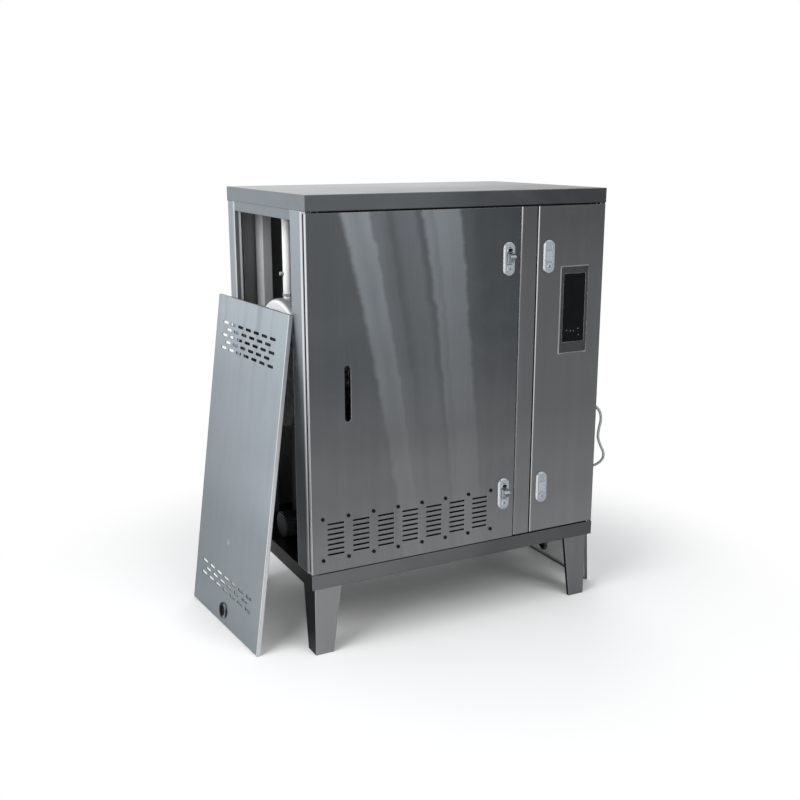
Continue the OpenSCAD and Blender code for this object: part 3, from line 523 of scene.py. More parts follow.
def rail_steel():
    """Top rails over the openings, with painted light and shade on their faces and painted shade along the
    edges that look down or right.
    """
    material, tree, shader = new_material("rail_steel")
    left = steel(152, COOL)
    right = steel(140, COOL)
    sides = {"Forward": 30, "Left": left, "Right": right, "Upwards": 150, "Downwards": 60}
    finish_sheet(tree, shader, steel(100), sides, rough=0.32, edge_level=190, shaded=0.5, lines=LEVEL_LINES)
    return material


def leg_steel():
    """Legs, with painted light and shade: pale fronts that darken from left to right, painted shadow of the
    tray at their tops, and dark sides.
    """
    material, tree, shader = new_material("leg_steel")
    front = levels(tree, over(tree, "base_tray", X), [(0.0, 131), (1.0, 104)])
    height = over(tree, "front_left_leg", Z)
    shadow = ramp(tree, height, [(0.0, 1.0), (0.86, 1.0), (0.95, 0.25), (1.0, 0.15)])
    front = blend_colour(tree, 1.0, front, shadow, "MULTIPLY")
    sides = {"Backward": 80, "Left": 44, "Right": 60, "Upwards": 90, "Downwards": 60}
    finish_sheet(tree, shader, front, sides, rough=0.34, edge_level=205)
    return material


# Weight of height against depth that tells a leaning panel's front corners apart
CORNER_WEIGHT = 0.2


def front_fold(tree, node_name, width):
    """A mask of the fold along the leaning panel's front edge."""
    points = [vertex.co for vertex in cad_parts[node_name].data.vertices]
    foot = min(points, key=lambda point: point.y + CORNER_WEIGHT * point.z)
    head = min(points, key=lambda point: point.y - CORNER_WEIGHT * point.z)
    slope = (head.y - foot.y) / (head.z - foot.z)
    place = parts(tree, object_place(tree))
    edge_y = times_add(tree, place[Z], slope, foot.y - slope * foot.z)
    return span(tree, minus(tree, place[Y], edge_y), width, width * 0.4, 0.0, 0.9)


# Display levels of a leaning panel from its foot to its head, painted light included: near the doors, far
# from them and inside
PANEL_NEAR = [(0.0, 150), (0.3, 153), (0.5, 171), (0.72, 177), (1.0, 192)]
PANEL_FAR = [(0.0, 144), (0.12, 136), (0.3, 138), (0.5, 149), (0.72, 160), (1.0, 188)]
PANEL_INSIDE = [(0.0, 245), (0.2, 240), (0.32, 120), (1.0, 116)]
# The painted highlight at the panel's dent, as shares of its depth and its height, with the radii of its rim
# and its middle
DENT_DEPTH = 0.53
DENT_HEIGHT = 0.26
DENT_RIM = mm(16)
DENT_MIDDLE = mm(2)
# Widths of the painted highlight on the fold of the panel's front edge, seen from the side and from the front
PANEL_FOLD = mm(7)
PANEL_LIP = mm(30)


def panel_steel(name, node_name, outward, inward, lip_level):
    """A side panel that is taken off, with painted light and shade: pale sheet, brighter high up, painted
    highlights on its front fold and at its dent, and painted shade on the walls and rims of its slots.
    """
    material, tree, shader = new_material(name)
    low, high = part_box(node_name)
    height = over(tree, node_name, Z)
    near = levels(tree, height, PANEL_NEAR, COOL)
    far = levels(tree, height, PANEL_FAR, COOL)
    body = blend_colour(tree, over(tree, node_name, Y), near, far)
    smear = noise(tree, stretched(tree, (2.0, 16.0, 1.3)), size=1.0, detail=3.0, roughness=0.5)
    dark = span(tree, smear, 0.5, 0.68, easing="SMOOTHSTEP")
    high_up = times(tree, dark, ramp(tree, height, [(0.7, 0.0), (0.95, 0.45)]))
    body = blend_colour(tree, high_up, body, steel(150, COOL))
    # A lighter spot painted at the dent, a painted highlight
    dent_y = low.y + (high.y - low.y) * DENT_DEPTH
    dent_z = low.z + (high.z - low.z) * DENT_HEIGHT
    away = vector_node(tree, "DISTANCE", stretched(tree, (0.0, 1.0, 1.0)), (0.0, dent_y, dent_z))
    dent = span(tree, away, DENT_RIM, DENT_MIDDLE, 0.0, 0.6, "SMOOTHSTEP")
    body = blend_colour(tree, dent, body, steel(185, COOL))
    body = blend_colour(tree, front_fold(tree, node_name, PANEL_FOLD), body, steel(235))
    inside = levels(tree, height, PANEL_INSIDE)
    lip = blend_colour(tree, front_fold(tree, node_name, PANEL_LIP), steel(30), steel(lip_level))
    crown = blend_colour(tree, span(tree, height, 0.95, 0.98), steel(30), steel(190))
    sides = {"Backward": 60, outward: body, inward: inside, "Forward": lip, "Upwards": crown, "Downwards": 50}
    finish_sheet(tree, shader, body, sides, rough=0.34, edge="Edge", edge_level=55, edge_radius=mm(2.0),
                 edge_share=0.7)
    return material


def inner_steel(name, node_name, front, near, far, metallic):
    """Folded sheet inside the cabinet, with painted shade: its sides shaded from the doors to the back, and
    its undersides darker.
    """
    material, tree, shader = new_material(name)
    side = blend_colour(tree, over(tree, node_name, Y), grey(near), grey(far))
    sides = {"Left": side, "Right": side, "Upwards": grey(front), "Downwards": grey(front * 0.6)}
    finish_sheet(tree, shader, grey(front), sides, rough=0.4, edge="Edge", metallic=metallic)
    return material


def bright_plate(name, shade, rough, tint=NEUTRAL, edge="Edge", edge_radius=mm(0.8), cloudy_share=0.5,
                 wall=0.0):
    """Plated lock parts and fittings, with smudges, pale edges that are partly wear and partly painted
    highlight, and painted light on the walls that look left.
    """
    material, tree, shader = new_material(name)
    smudge = place_group(tree, "handling_marks", Size=38.0)["Smudge"]
    edges = place_group(tree, "fold_edges", Radius=edge_radius, Gain=3.0)
    facing = place_group(tree, "facing")
    walls = larger(tree, facing["Left"], times(tree, facing["Upwards"], wall))
    cloud = grey(shade * 0.75, tint)
    colour = blend_colour(tree, times(tree, smudge, cloudy_share), grey(shade, tint), cloud)
    # Painted light on the walls, and pale edges that are partly wear and partly painted highlight
    colour = blend_colour(tree, walls, colour, grey(0.95))
    colour = blend_colour(tree, times(tree, edges[edge], 0.8), colour, grey(0.95))
    wire(
        tree, shader,
        Base_Color=colour,
        Roughness=span(tree, smudge, 0.0, 1.0, rough, rough + 0.14),
        Normal=bumped(tree, strength=0.08, depth=mm(0.5), height=smudge, Normal=edges["Normal"]),
        Metallic=1.0,
    )
    if wall > 0.0:
        less_metallic_walls(tree, shader, walls, wall)
    return material


def foil_jacket():
    """Crinkled foil round the drum, with the laps between its wraps."""
    material, tree, shader = new_material("foil_jacket")
    drum_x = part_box("drum_shell")[0].x
    wrap_half = mm(67.5)
    place = object_place(tree)
    warp = node(tree, "ShaderNodeTexNoise", Vector=place, Scale=30.0, Detail=4.0, Roughness=0.6)
    drift = vector_node(tree, "MULTIPLY", warp.outputs["Color"], (0.03, 0.03, 0.03))
    bent = vector_node(tree, "ADD", place, drift)
    cells = node(tree, "ShaderNodeTexVoronoi", {"feature": "DISTANCE_TO_EDGE"}, Vector=bent, Scale=34.0)
    folds = noise(tree, bent, size=55.0, detail=7.0, roughness=0.65)
    run = minus(tree, parts(tree, bent)[X], drum_x)
    lap = span(tree, math_node(tree, "PINGPONG", run, wrap_half), mm(3.0), mm(1.2))
    creased = times_add(tree, span(tree, cells.outputs["Distance"], 0.0, 0.22), 0.5, folds)
    shade = blend_colour(tree, folds, grey(0.46), grey(0.84))
    wire(
        tree, shader,
        Base_Color=blend_colour(tree, lap, shade, grey(0.4)),
        Roughness=span(tree, folds, 0.2, 0.8, 0.24, 0.46),
        Normal=bumped(tree, strength=0.5, depth=mm(3.0), height=times_add(tree, lap, -0.4, creased)),
        Metallic=0.85,
    )
    return material


def wrapped_end():
    """A drum end: foil folded over its crown from the jacket, and near-black painted shadow below the fold;
    the foil on the end's rim is greyer than on its flat faces.
    """
    material, tree, shader = new_material("wrapped_end")
    folds = noise(tree, object_place(tree), size=42.0, detail=5.0, roughness=0.6)
    ragged = times_add(tree, folds, 0.1, over(tree, "drum_left_end", Z))
    foil = span(tree, ragged, 0.9, 0.95)
    facing = place_group(tree, "facing")
    flat = larger(tree, facing["Left"], facing["Right"])
    bright = blend_colour(tree, flat, blend_colour(tree, folds, grey(0.12), grey(0.4)), grey(1.0))
    # Near-black painted shadow below the fold
    painted_shadow = blend_colour(tree, folds, grey(0.012), grey(0.03))
    wire(
        tree, shader,
        Base_Color=blend_colour(tree, foil, painted_shadow, bright),
        Roughness=span(tree, folds, 0.3, 0.7, 0.4, 0.62),
        Metallic=times(tree, foil, 0.15),
        Normal=bumped(tree, strength=0.35, depth=mm(2.0), height=folds),
        Specular_IOR_Level=0.15,
    )
    return material


def coated(name, colour, rough, worn=0.0, bump_size=220.0, bump_depth=mm(0.2), gloss=0.5):
    """Painted, moulded or lagged pieces: a fine skin, dust in smudges, and paler edges that are partly wear
    and partly painted highlight.
    """
    material, tree, shader = new_material(name)
    marks = place_group(tree, "handling_marks", Size=14.0)
    edges = place_group(tree, "fold_edges", Radius=mm(1.0), Gain=2.0)
    skin = noise(tree, object_place(tree), size=bump_size, detail=3.0, roughness=0.6)
    dull = tuple(part * 0.72 for part in colour) + (1.0,)
    base = blend_colour(tree, times(tree, marks["Smudge"], 0.55), (*colour, 1.0), dull)
    base = blend_colour(tree, times(tree, marks["Speck"], 0.25), base, dull)
    # Paler edges: partly wear, partly painted highlight
    base = blend_colour(tree, times(tree, edges["Edge"], worn), base, grey(0.6))
    wire(
        tree, shader,
        Base_Color=base,
        Roughness=span(tree, skin, 0.3, 0.7, rough - 0.06, rough + 0.08),
        Normal=bumped(tree, strength=0.25, depth=bump_depth, height=skin, Normal=edges["Normal"]),
        Specular_IOR_Level=gloss,
    )
    return material


def collar_rubber():
    """Black rubber, with a painted highlight on the front half of the collar."""
    material, tree, shader = new_material("collar_rubber")
    low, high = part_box("left_grommet")
    skin = noise(tree, object_place(tree), size=300.0, detail=3.0, roughness=0.6)
    front = along(tree, Y, low.lerp(high, 0.52).y, low.lerp(high, 0.38).y)
    rim = along(tree, Y, low.lerp(high, 0.03).y, low.lerp(high, 0.14).y)
    # Painted highlight on the front half of the collar
    worn = times(tree, times(tree, front, rim), skin)
    wire(
        tree, shader,
        Base_Color=blend_colour(tree, worn, grey(0.007), grey(0.35)),
        Roughness=span(tree, skin, 0.3, 0.7, 0.54, 0.68),
        Normal=bumped(tree, strength=0.25, depth=mm(0.2), height=skin),
        Specular_IOR_Level=0.12,
    )
    return material


def smeared_glass(name, clean, smeared, size, share, polish, **more):
    """Glass with a few faint smears."""
    material, tree, shader = new_material(name)
    smudge = place_group(tree, "handling_marks", Size=size)["Smudge"]
    wire(
        tree, shader,
        Base_Color=blend_colour(tree, times(tree, smudge, share), clean, smeared),
        Roughness=span(tree, smudge, 0.0, 1.0, polish, 0.2),
        **more,
    )
    return material


def dark_glass():
    """Glossy black front of the display."""
    clean = (0.003, 0.0035, 0.004, 1.0)
    smeared = (0.008, 0.009, 0.01, 1.0)
    gloss = {"polish": 0.06, "Specular_IOR_Level": 0.05}
    return smeared_glass("dark_glass", clean, smeared, size=26.0, share=0.3, **gloss)


def clear_tube():
    """Glass of the level gauge."""
    clean = (0.90, 0.95, 0.95, 1.0)
    smeared = (0.75, 0.80, 0.78, 1.0)
    gloss = {"polish": 0.02, "Transmission_Weight": 0.9, "IOR": 1.47}
    return smeared_glass("clear_tube", clean, smeared, size=30.0, share=0.4, **gloss)


# How strong the painted highlight on the fold of a sheet's left edge is, from its foot to its head
WHOLE_FOLD = [(0.0, 0.45), (0.5, 0.7), (1.0, 0.95)]
UPPER_FOLD = [(0.0, 0.02), (0.72, 0.06), (0.88, 0.3), (1.0, 0.7)]


def make_finishes():
    for build_group in (build_grain, build_fold_edges, build_handling, build_facing):
        build_group()
    lock_look = {"rough": 0.2, "tint": COOL, "edge": "Lit", "cloudy_share": 0.2}
    return {
        "main_door": main_door_steel(),
        "control_door": control_door_steel("control_door_steel", "control_door", WHOLE_FOLD),
        "mullion": control_door_steel("mullion_steel", "mullion", UPPER_FOLD, side_level=190, wall=0.9),
        "lid": lid_steel(),
        "tray": tray_steel(),
        "front_post": front_post_steel(),
        "back_post": back_post_steel(),
        "rail": rail_steel(),
        "leg": leg_steel(),
        "left_panel": panel_steel("left_panel_steel", "left_side_panel", "Left", "Right", lip_level=205),
        "right_panel": panel_steel("right_panel_steel", "right_side_panel", "Right", "Left", lip_level=90),
        "inner": inner_steel("inner_steel", "back_panel", front=0.28, near=0.26, far=0.26, metallic=0.45),
        "inner_post": inner_steel(
            "inner_post_steel", "rear_inner_post", front=0.48, near=0.58, far=1.0, metallic=0.1
        ),
        "lock": bright_plate("lock_plate", shade=0.36, edge_radius=mm(1.5), wall=0.9, **lock_look),
        "lever": bright_plate("lever_plate", shade=0.42, edge_radius=mm(2.0), **lock_look),
        "fitting": bright_plate("fitting_plate", shade=0.7, rough=0.14),
        "zinc": bright_plate("zinc_plate", shade=0.52, rough=0.34),
        "bezel": bright_plate("bezel_satin", shade=0.06, rough=0.36),
        "jacket": foil_jacket(),
        "cover": wrapped_end(),
        "pipe": coated("pipe_white", (0.88, 0.88, 0.87), rough=0.5, bump_size=120.0),
        "union": coated("union_paint", (0.36, 0.34, 0.36), rough=0.5, worn=0.3, bump_size=120.0),
        "saddle": coated("saddle_paint", (0.035, 0.036, 0.038), rough=0.45, worn=0.35),
        "motor": coated("motor_enamel", (0.04, 0.044, 0.048), rough=0.45, worn=0.5, gloss=0.25),
        "iron": coated(
            "pump_iron", (0.05, 0.055, 0.06), rough=0.6, worn=0.4, bump_size=160.0, bump_depth=mm(0.6)
        ),
        "moulded": coated("moulded_dark", (0.045, 0.047, 0.05), rough=0.5),
        "terminal": coated("moulded_grey", (0.33, 0.34, 0.33), rough=0.5),
        "rubber": coated("black_rubber", (0.007, 0.007, 0.008), rough=0.6, bump_size=300.0, gloss=0.12),
        "collar": collar_rubber(),
        "screw": coated("black_screw", (0.004, 0.004, 0.005), rough=0.55, worn=0.05, gloss=0.1),
        "bead": coated("sealing_bead", (0.25, 0.26, 0.26), rough=0.4, bump_size=80.0, bump_depth=mm(0.8)),
        "dot": coated("key_dots", (0.16, 0.15, 0.14), rough=0.5),
        "sheath": coated("cable_sheath", (0.36, 0.37, 0.38), rough=0.42, bump_size=150.0),
        "glass": dark_glass(),
        "tube": clear_tube(),
    }


FINISHED_NODES = {
    "lid": ["lid"],
    "rail": ["front_top_rail", "left_top_rail", "right_top_rail"],
    "front_post": ["front_left_post", "front_right_post"],
    "back_post": ["back_left_post", "back_right_post"],
    "mullion": ["mullion"],
    "inner_post": ["rear_inner_post"],
    "tray": ["base_tray"],
    "leg": ["front_left_leg", "front_right_leg", "back_left_leg", "back_right_leg"],
    "inner": ["back_panel", "partition"],
    "left_panel": ["left_side_panel"],
    "right_panel": ["right_side_panel"],
    "collar": ["left_grommet", "right_grommet"],
    "jacket": ["drum_shell"],
    "cover": ["drum_left_end", "drum_right_end"],
    "saddle": ["drum_saddles"],
    "pipe": ["steam_pipe"],
    "union": ["pipe_union"],
    "tube": ["gauge_glass"],
    "fitting": ["gauge_cocks", "end_cock", "feed_pipe"],
    "motor": ["pump_motor"],
    "iron": ["pump_casing"],
    "zinc": ["mounting_plate"],
    "moulded": ["contactors"],
    "terminal": ["terminal_blocks"],
    "sheath": ["hanging_cable"],
    "main_door": ["main_door"],
    "control_door": ["control_door"],
    "lock": ["main_locks", "control_locks"],
    "lever": ["main_upper_lever", "main_lower_lever", "control_upper_lever", "control_lower_lever"],
    "bezel": ["display_bezel"],
    "glass": ["display_glass"],
}


def finish_solids(finishes):
    for finish, names in FINISHED_NODES.items():
        for name in names:
            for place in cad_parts[name].material_slots:
                place.material = finishes[finish]


# New pieces


def set_mode(mode):
    bpy.ops.object.mode_set(mode=mode)


def start_piece():
    if bpy.context.object and bpy.context.object.mode != "OBJECT":
        set_mode("OBJECT")
    bpy.ops.object.select_all(action="DESELECT")


def choose(piece):
    """Selects one piece alone and makes it active."""
    start_piece()
    piece.select_set(True)
    bpy.context.view_layer.objects.active = piece


def apply_place():
    bpy.ops.object.transform_apply(location=True, rotation=True, scale=True)


def settle(piece, name, coats, body):
    """Puts the piece's place in its mesh, and gives it a name, its finishes and a body."""
    choose(piece)
    apply_place()
    piece.name = name
    piece.data.name = name
    for coat in coats[len(piece.data.materials):]:
        piece.data.materials.append(coat)
    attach(piece, body)
    return piece


def pick_faces(piece, test):
    """Selects the faces whose centre and normal pass a test, and stays in edit mode."""
    set_mode("EDIT")
    bpy.ops.mesh.select_mode(type="FACE")
    bpy.ops.mesh.select_all(action="DESELECT")
    set_mode("OBJECT")
    for face in piece.data.polygons:
        face.select = bool(test(face.center, face.normal))
    set_mode("EDIT")


def pick_front(piece):
    """Selects the foremost face, and stays in edit mode."""
    set_mode("OBJECT")
    foremost = min(face.center.y for face in piece.data.polygons)
    pick_faces(piece, lambda centre, normal: centre.y < foremost + TINY and normal.y < -FACING_FULL)


def round_front(piece, width, segments=2):
    """Rounds the rim of the foremost face, and selects the flat that is left of it."""
    pick_front(piece)
    bpy.ops.mesh.bevel(offset=width, segments=segments, affect="EDGES")
    pick_front(piece)


def inset(width):
    """Draws a smaller face inside the selected one."""
    bpy.ops.mesh.inset(thickness=width)


def sink(depth):
    """Moves the selected faces back."""
    bpy.ops.transform.translate(value=(0, depth, 0))


def extrude(depth):
    """Draws walls from the selected faces to the back, or to the front where the depth is negative."""
    bpy.ops.mesh.extrude_region_move(TRANSFORM_OT_translate={"value": (0, depth, 0)})


def spread(across, upwards):
    """Widens or narrows the selected faces about the axis of the piece."""
    bpy.ops.transform.resize(value=(across, 1.0, upwards), center_override=(0, 0, 0))


def smooth(piece, degrees=35):
    choose(piece)
    bpy.ops.object.shade_smooth_by_angle(angle=math.radians(degrees))


def repeat(piece, places, turn=0.0):
    """Copies a modelled piece, each with its own mesh, to all the places and joins them."""
    copies = []
    for place in places:
        copy = piece.copy()
        copy.data = piece.data.copy()
        copy.location = place
        copy.rotation_euler = (0.0, 0.0, turn)
        bpy.context.scene.collection.objects.link(copy)
        copies.append(copy)
    bpy.data.objects.remove(piece)
    start_piece()
    for copy in copies:
        copy.select_set(True)
    bpy.context.view_layer.objects.active = copies[0]
    apply_place()
    if len(copies) > 1:
        bpy.ops.object.join()
    return bpy.context.object


def round_blank(radius, rise, corners):
    """A round blank whose seat is at the origin and whose face looks to -Y."""
    start_piece()
    bpy.ops.mesh.primitive_cylinder_add(
        vertices=corners, radius=radius, depth=rise, location=(0, -rise / 2, 0), rotation=(SQUARE_TURN, 0, 0)
    )
    apply_place()
    return bpy.context.object


def screw_head(width, height):
    """A domed screw head with a recess in its top."""
    head = round_blank(width / 2, height, 20)
    round_front(head, height * 0.55, 3)
    inset(width * 0.12)
    sink(height * 0.35)
    smooth(head)
    return head


def slotted_head(width, height):
    """A flat screw head with a driver slot."""
    head = round_blank(width / 2, height, 24)
    round_front(head, height * 0.3)
    inset(width * 0.06)
    spread(0.22, 0.95)
    sink(height * 0.4)
    smooth(head)
    return head


def hex_head(width, height):
    """A bolt head with six flats and a washer face."""
    head = round_blank(width * 0.62, height * 0.2, 24)
    pick_front(head)
    inset(width * 0.06)
    extrude(-height * 0.1)
    flats = round_blank(width / 2, height, 6)
    round_front(flats, height * 0.18)
    set_mode("OBJECT")
    head.select_set(True)
    bpy.context.view_layer.objects.active = head
    bpy.ops.object.join()
    smooth(head, 25)
    return head


def add_vent_screws(finishes):
    """Black screw heads between the columns of the main door's vent."""
    columns = 8
    column_pitch = 81.0
    first_x = 36.8
    rows_z = (300.0, 426.0)
    places = [at(first_x + column_pitch * column, 0, z) for column in range(columns) for z in rows_z]
    screws = repeat(screw_head(width=mm(11.2), height=mm(3.4)), places)
    settle(screws, "vent_screws", [finishes["screw"]], "main_door")


LOCK_HALF = mm(49.5)


def lock_places(door, rise):
    """The places that lie so far above the middles of a door's two locks."""
    low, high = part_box(f"{door}_locks")
    middle_x = (low.x + high.x) / 2
    return [Vector((middle_x, low.y, z + rise)) for z in (low.z + LOCK_HALF, high.z - LOCK_HALF)]


def lock_coats(finishes):
    return [finishes["lock"], finishes["rubber"]]


def blacken(piece, finishes, radius, back, front=math.inf):
    """Plates a lock's piece, and blackens the faces near its axis that lie between two heights, painted shade
    in its shallow hole.
    """
    for coat in lock_coats(finishes):
        piece.data.materials.append(coat)
    for face in piece.data.polygons:
        inside = math.hypot(face.center.x, face.center.z) < radius
        face.material_index = 1 if inside and -front < face.center.y < -back else 0


def key_barrel(finishes):
    """A lock's key barrel: a low round rim, a sunk face and an upright keyhole."""
    rim_r = mm(8.5)
    rise = mm(2.4)
    rim_round = mm(0.6)
    rim_w = mm(1.3)
    face_depth = mm(0.5)
    keyhole_margin = mm(2.6)
    keyhole_depth = mm(1.6)
    barrel = round_blank(rim_r, rise, 32)
    round_front(barrel, rim_round)
    inset(rim_w)
    sink(face_depth)
    inset(keyhole_margin)
    spread(0.4, 1.15)
    extrude(keyhole_depth)
    set_mode("OBJECT")
    blacken(barrel, finishes, rim_r * 0.55, back=mm(0.1), front=mm(1.5))
    smooth(barrel)
    return barrel


def add_key_barrels(finishes):
    barrel_drop = mm(29.0)
    for door in ("main", "control"):
        barrels = repeat(key_barrel(finishes), lock_places(door, -barrel_drop))
        settle(barrels, f"{door}_key_barrels", lock_coats(finishes), f"{door}_door")


def add_release_holes(finishes):
    """Oval sunk holes above the main door's levers."""
    hole_rise = mm(26.0)
    hole_r = mm(7.6)
    rise = mm(1.6)
    rim_round = mm(0.5)
    rim_w = mm(0.7)
    depth = mm(1.0)
    floor_margin = mm(2.0)
    floor_dish = mm(0.3)
    hole = round_blank(hole_r, rise, 32)
    round_front(hole, rim_round)
    inset(rim_w)
    extrude(depth)
    inset(floor_margin)
    sink(floor_dish)
    set_mode("OBJECT")
    blacken(hole, finishes, hole_r - mm(1.1), back=mm(0.1))
    set_mode("EDIT")
    bpy.ops.mesh.select_all(action="SELECT")
    spread(1.3, 0.9)
    smooth(hole)
    holes = repeat(hole, lock_places("main", hole_rise))
    settle(holes, "main_release_holes", lock_coats(finishes), "main_door")


def add_grommet_skins(finishes):
    """Thin dished skins that close the holes of the panels' grommets."""
    skin_r = mm(16.7)
    skin_t = mm(1.6)
    dish = mm(0.4)
    steps = (mm(3.0), mm(4.5), mm(4.5))
    for side, sign in (("left", -1), ("right", 1)):
        outward = Vector((0, 0, 0))
        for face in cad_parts[f"{side}_grommet"].data.polygons:
            if face.normal.x * sign > FACING_FULL:
                outward += face.normal * face.area
        low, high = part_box(f"{side}_grommet")
        skin = round_blank(skin_r, skin_t, 40)
        pick_front(skin)
        for step in steps:
            inset(step)
            sink(dish)
        smooth(skin, 60)
        skin.rotation_euler = outward.to_track_quat("-Y", "Z").to_euler()
        skin.location = (low + high) / 2
        settle(skin, f"{side}_grommet_skin", [finishes["rubber"]], "cabinet")


def add_display_bead(finishes):
    """An uneven bead of sealant round the display's frame, thicker at its lower corners."""
    low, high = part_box("display_bezel")
    middle = (low + high) / 2
    width = high.x - low.x
    height = high.z - low.z
    bead_r = mm(1.7)
    even_run = 0.85
    broad_wave = 0.2
    short_wave = 0.12
    corner_swell = 0.9
    start_piece()
    bpy.ops.mesh.primitive_plane_add(size=1.0, location=(middle.x, at(0, 0, 0).y, middle.z))
    bead = bpy.context.object
    bead.rotation_euler = (SQUARE_TURN, 0, 0)
    bead.scale = (width + bead_r, height + bead_r, 1.0)
    apply_place()
    set_mode("EDIT")
    bpy.ops.mesh.select_all(action="SELECT")
    bpy.ops.mesh.delete(type="ONLY_FACE")
    bpy.ops.mesh.select_all(action="SELECT")
    bpy.ops.mesh.subdivide(number_cuts=31)
    set_mode("OBJECT")
    bpy.ops.object.convert(target="CURVE")
    bead = bpy.context.object
    bead.data.bevel_depth = bead_r
    bead.data.bevel_resolution = 3
    for count, spot in enumerate(bead.data.splines[0].points):
        wave = broad_wave * math.sin(count * 1.7) + short_wave * math.sin(count * 4.1)
        above = (spot.co.z - low.z) / height
        aside = abs(spot.co.x - middle.x) / width
        corner = max(0.0, 1.0 - above * 14) * max(0.0, aside * 6 - 2)
        spot.radius = even_run + wave + corner_swell * corner
    bpy.ops.object.convert(target="MESH")
    bead = bpy.context.object
    smooth(bead, 60)
    settle(bead, "display_bead", [finishes["bead"]], "control_door")


def add_display_dots(finishes):
    """Touch keys low on the display's glass: plain dots."""
    low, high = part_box("display_glass")
    width = high.x - low.x
    height = high.z - low.z
    spots = [(0.2, 0.17), (0.38, 0.16), (0.52, 0.155), (0.74, 0.185), (0.76, 0.09)]
    places = [Vector((low.x + width * x, low.y, low.z + height * z)) for x, z in spots]
    dot_r = mm(1.7)
    dot_rise = mm(0.5)
    dot_round = mm(0.2)
    dot = round_blank(dot_r, dot_rise, 16)
    round_front(dot, dot_round)
    smooth(dot, 50)
    settle(repeat(dot, places), "display_dots", [finishes["dot"]], "control_door")


def add_control_screws(finishes):
    """Terminal screws of the contactors and the terminal blocks."""
    low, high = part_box("contactors")
    unit_w = mm(46.0)
    units = 4
    step_back = mm(25.0)
    ledge = mm(10.0)
    unit_shares = (0.2, 0.5, 0.8)
    block_shares = (0.12, 0.28, 0.72, 0.88)
    pitch = (high.x - low.x - unit_w) / (units - 1)
    places = []
    for unit in range(units):
        for share in unit_shares:
            x = low.x + pitch * unit + unit_w * share
            places += [Vector((x, low.y + step_back, z)) for z in (low.z + ledge, high.z - ledge)]
    low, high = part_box("terminal_blocks")
    block_half = mm(22.0)
    for z in (low.z + block_half, high.z - block_half):
        places += [Vector((low.x + (high.x - low.x) * share, low.y, z)) for share in block_shares]
    screws = repeat(slotted_head(width=mm(8.0), height=mm(2.4)), places)
    settle(screws, "terminal_screws", [finishes["zinc"]], "cabinet")


def add_pump_bolts(finishes):
    """Bolts round the end cover of the pump."""
    low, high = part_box("pump_casing")
    pump_r = (high.y - low.y) / 2
    ring_r = pump_r * 0.8
    centre = Vector((high.x, (low.y + high.y) / 2, high.z - pump_r))
    bolt_count = 6
    first_turn = 30
    turns = [math.radians(first_turn + 360 * step / bolt_count) for step in range(bolt_count)]
    places = [centre + Vector((0, math.cos(turn), math.sin(turn))) * ring_r for turn in turns]
    bolts = repeat(hex_head(width=mm(10.0), height=mm(5.0)), places, SQUARE_TURN)
    settle(bolts, "pump_bolts", [finishes["zinc"]], "cabinet")


def add_back_screws(finishes):
    """Screws that hold the back panel."""
    low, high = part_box("back_panel")
    margin = mm(16.0)
    rows = 5
    spans = 4
    places = []
    for row in range(rows):
        z = low.z + margin + (high.z - low.z - 2 * margin) * row / (rows - 1)
        places += [Vector((x, high.y, z)) for x in (low.x + margin, high.x - margin)]
    for part in range(1, spans):
        x = low.x + margin + (high.x - low.x - 2 * margin) * part / spans
        places += [Vector((x, high.y, z)) for z in (low.z + margin, high.z - margin)]
    screws = repeat(screw_head(width=mm(10.5), height=mm(3.4)), places, math.pi)
    settle(screws, "back_screws", [finishes["zinc"]], "cabinet")


CABLE_D = 9.0
# Where the cable meets the upper and the lower terminal block, and its straight lead from each
BLOCK_X = 935.0
BLOCK_Y = 366.0
BLOCK_RISES = (640.0, 430.0)
CABLE_LEAD = 36.0
# Points of the cable's loop in millimetres from the right face, the door faces and the tray
CABLE_LOOP = [
    (-25, 250, 392), (0, 170, 397), (10, 115, 394), (14, 92, 390), (30, 60, 382), (46, 42, 360),
    (50, 38, 332), (44, 38, 302), (42, 38, 272), (54, 38, 242), (68, 40, 217), (72, 46, 194),
    (60, 60, 172), (36, 80, 160), (16, 100, 158), (8, 125, 160), (0, 170, 162), (-25, 250, 166),
]


def smooth_route(points, steps=6):
    """A smooth line through all the points of a route, straight in its first and last stretches."""
    first = (points[1] - points[0]).normalized()
    last = (points[-1] - points[-2]).normalized()
    ways = [(after - before).normalized() for before, after in zip(points[1:], points[3:-1])]
    ways = [first, first, *ways, last, last]
    line = []
    for start, end, leave, arrive in zip(points, points[1:], ways, ways[1:]):
        reach = (end - start).length / 3
        leaving = start + leave * reach
        arriving = end - arrive * reach
        line += geometry.interpolate_bezier(start, leaving, arriving, end, steps + 1)[:-1]
    return [*line, points[-1]]


def cable_boot():
    """A ribbed boot that tapers along the cable."""
    collar_r = mm(10.0)
    collar_length = mm(4.0)
    ribs = ((1.0, 0.8), (5.0, 0.97), (1.2, 0.92), (5.0, 0.97), (1.2, 0.92), (8.0, 0.88))
    boot = round_blank(collar_r, collar_length, 24)
    for length, shrink in ribs:
        pick_front(boot)
        extrude(-mm(length))
        spread(shrink, shrink)
    smooth(boot)
    return boot


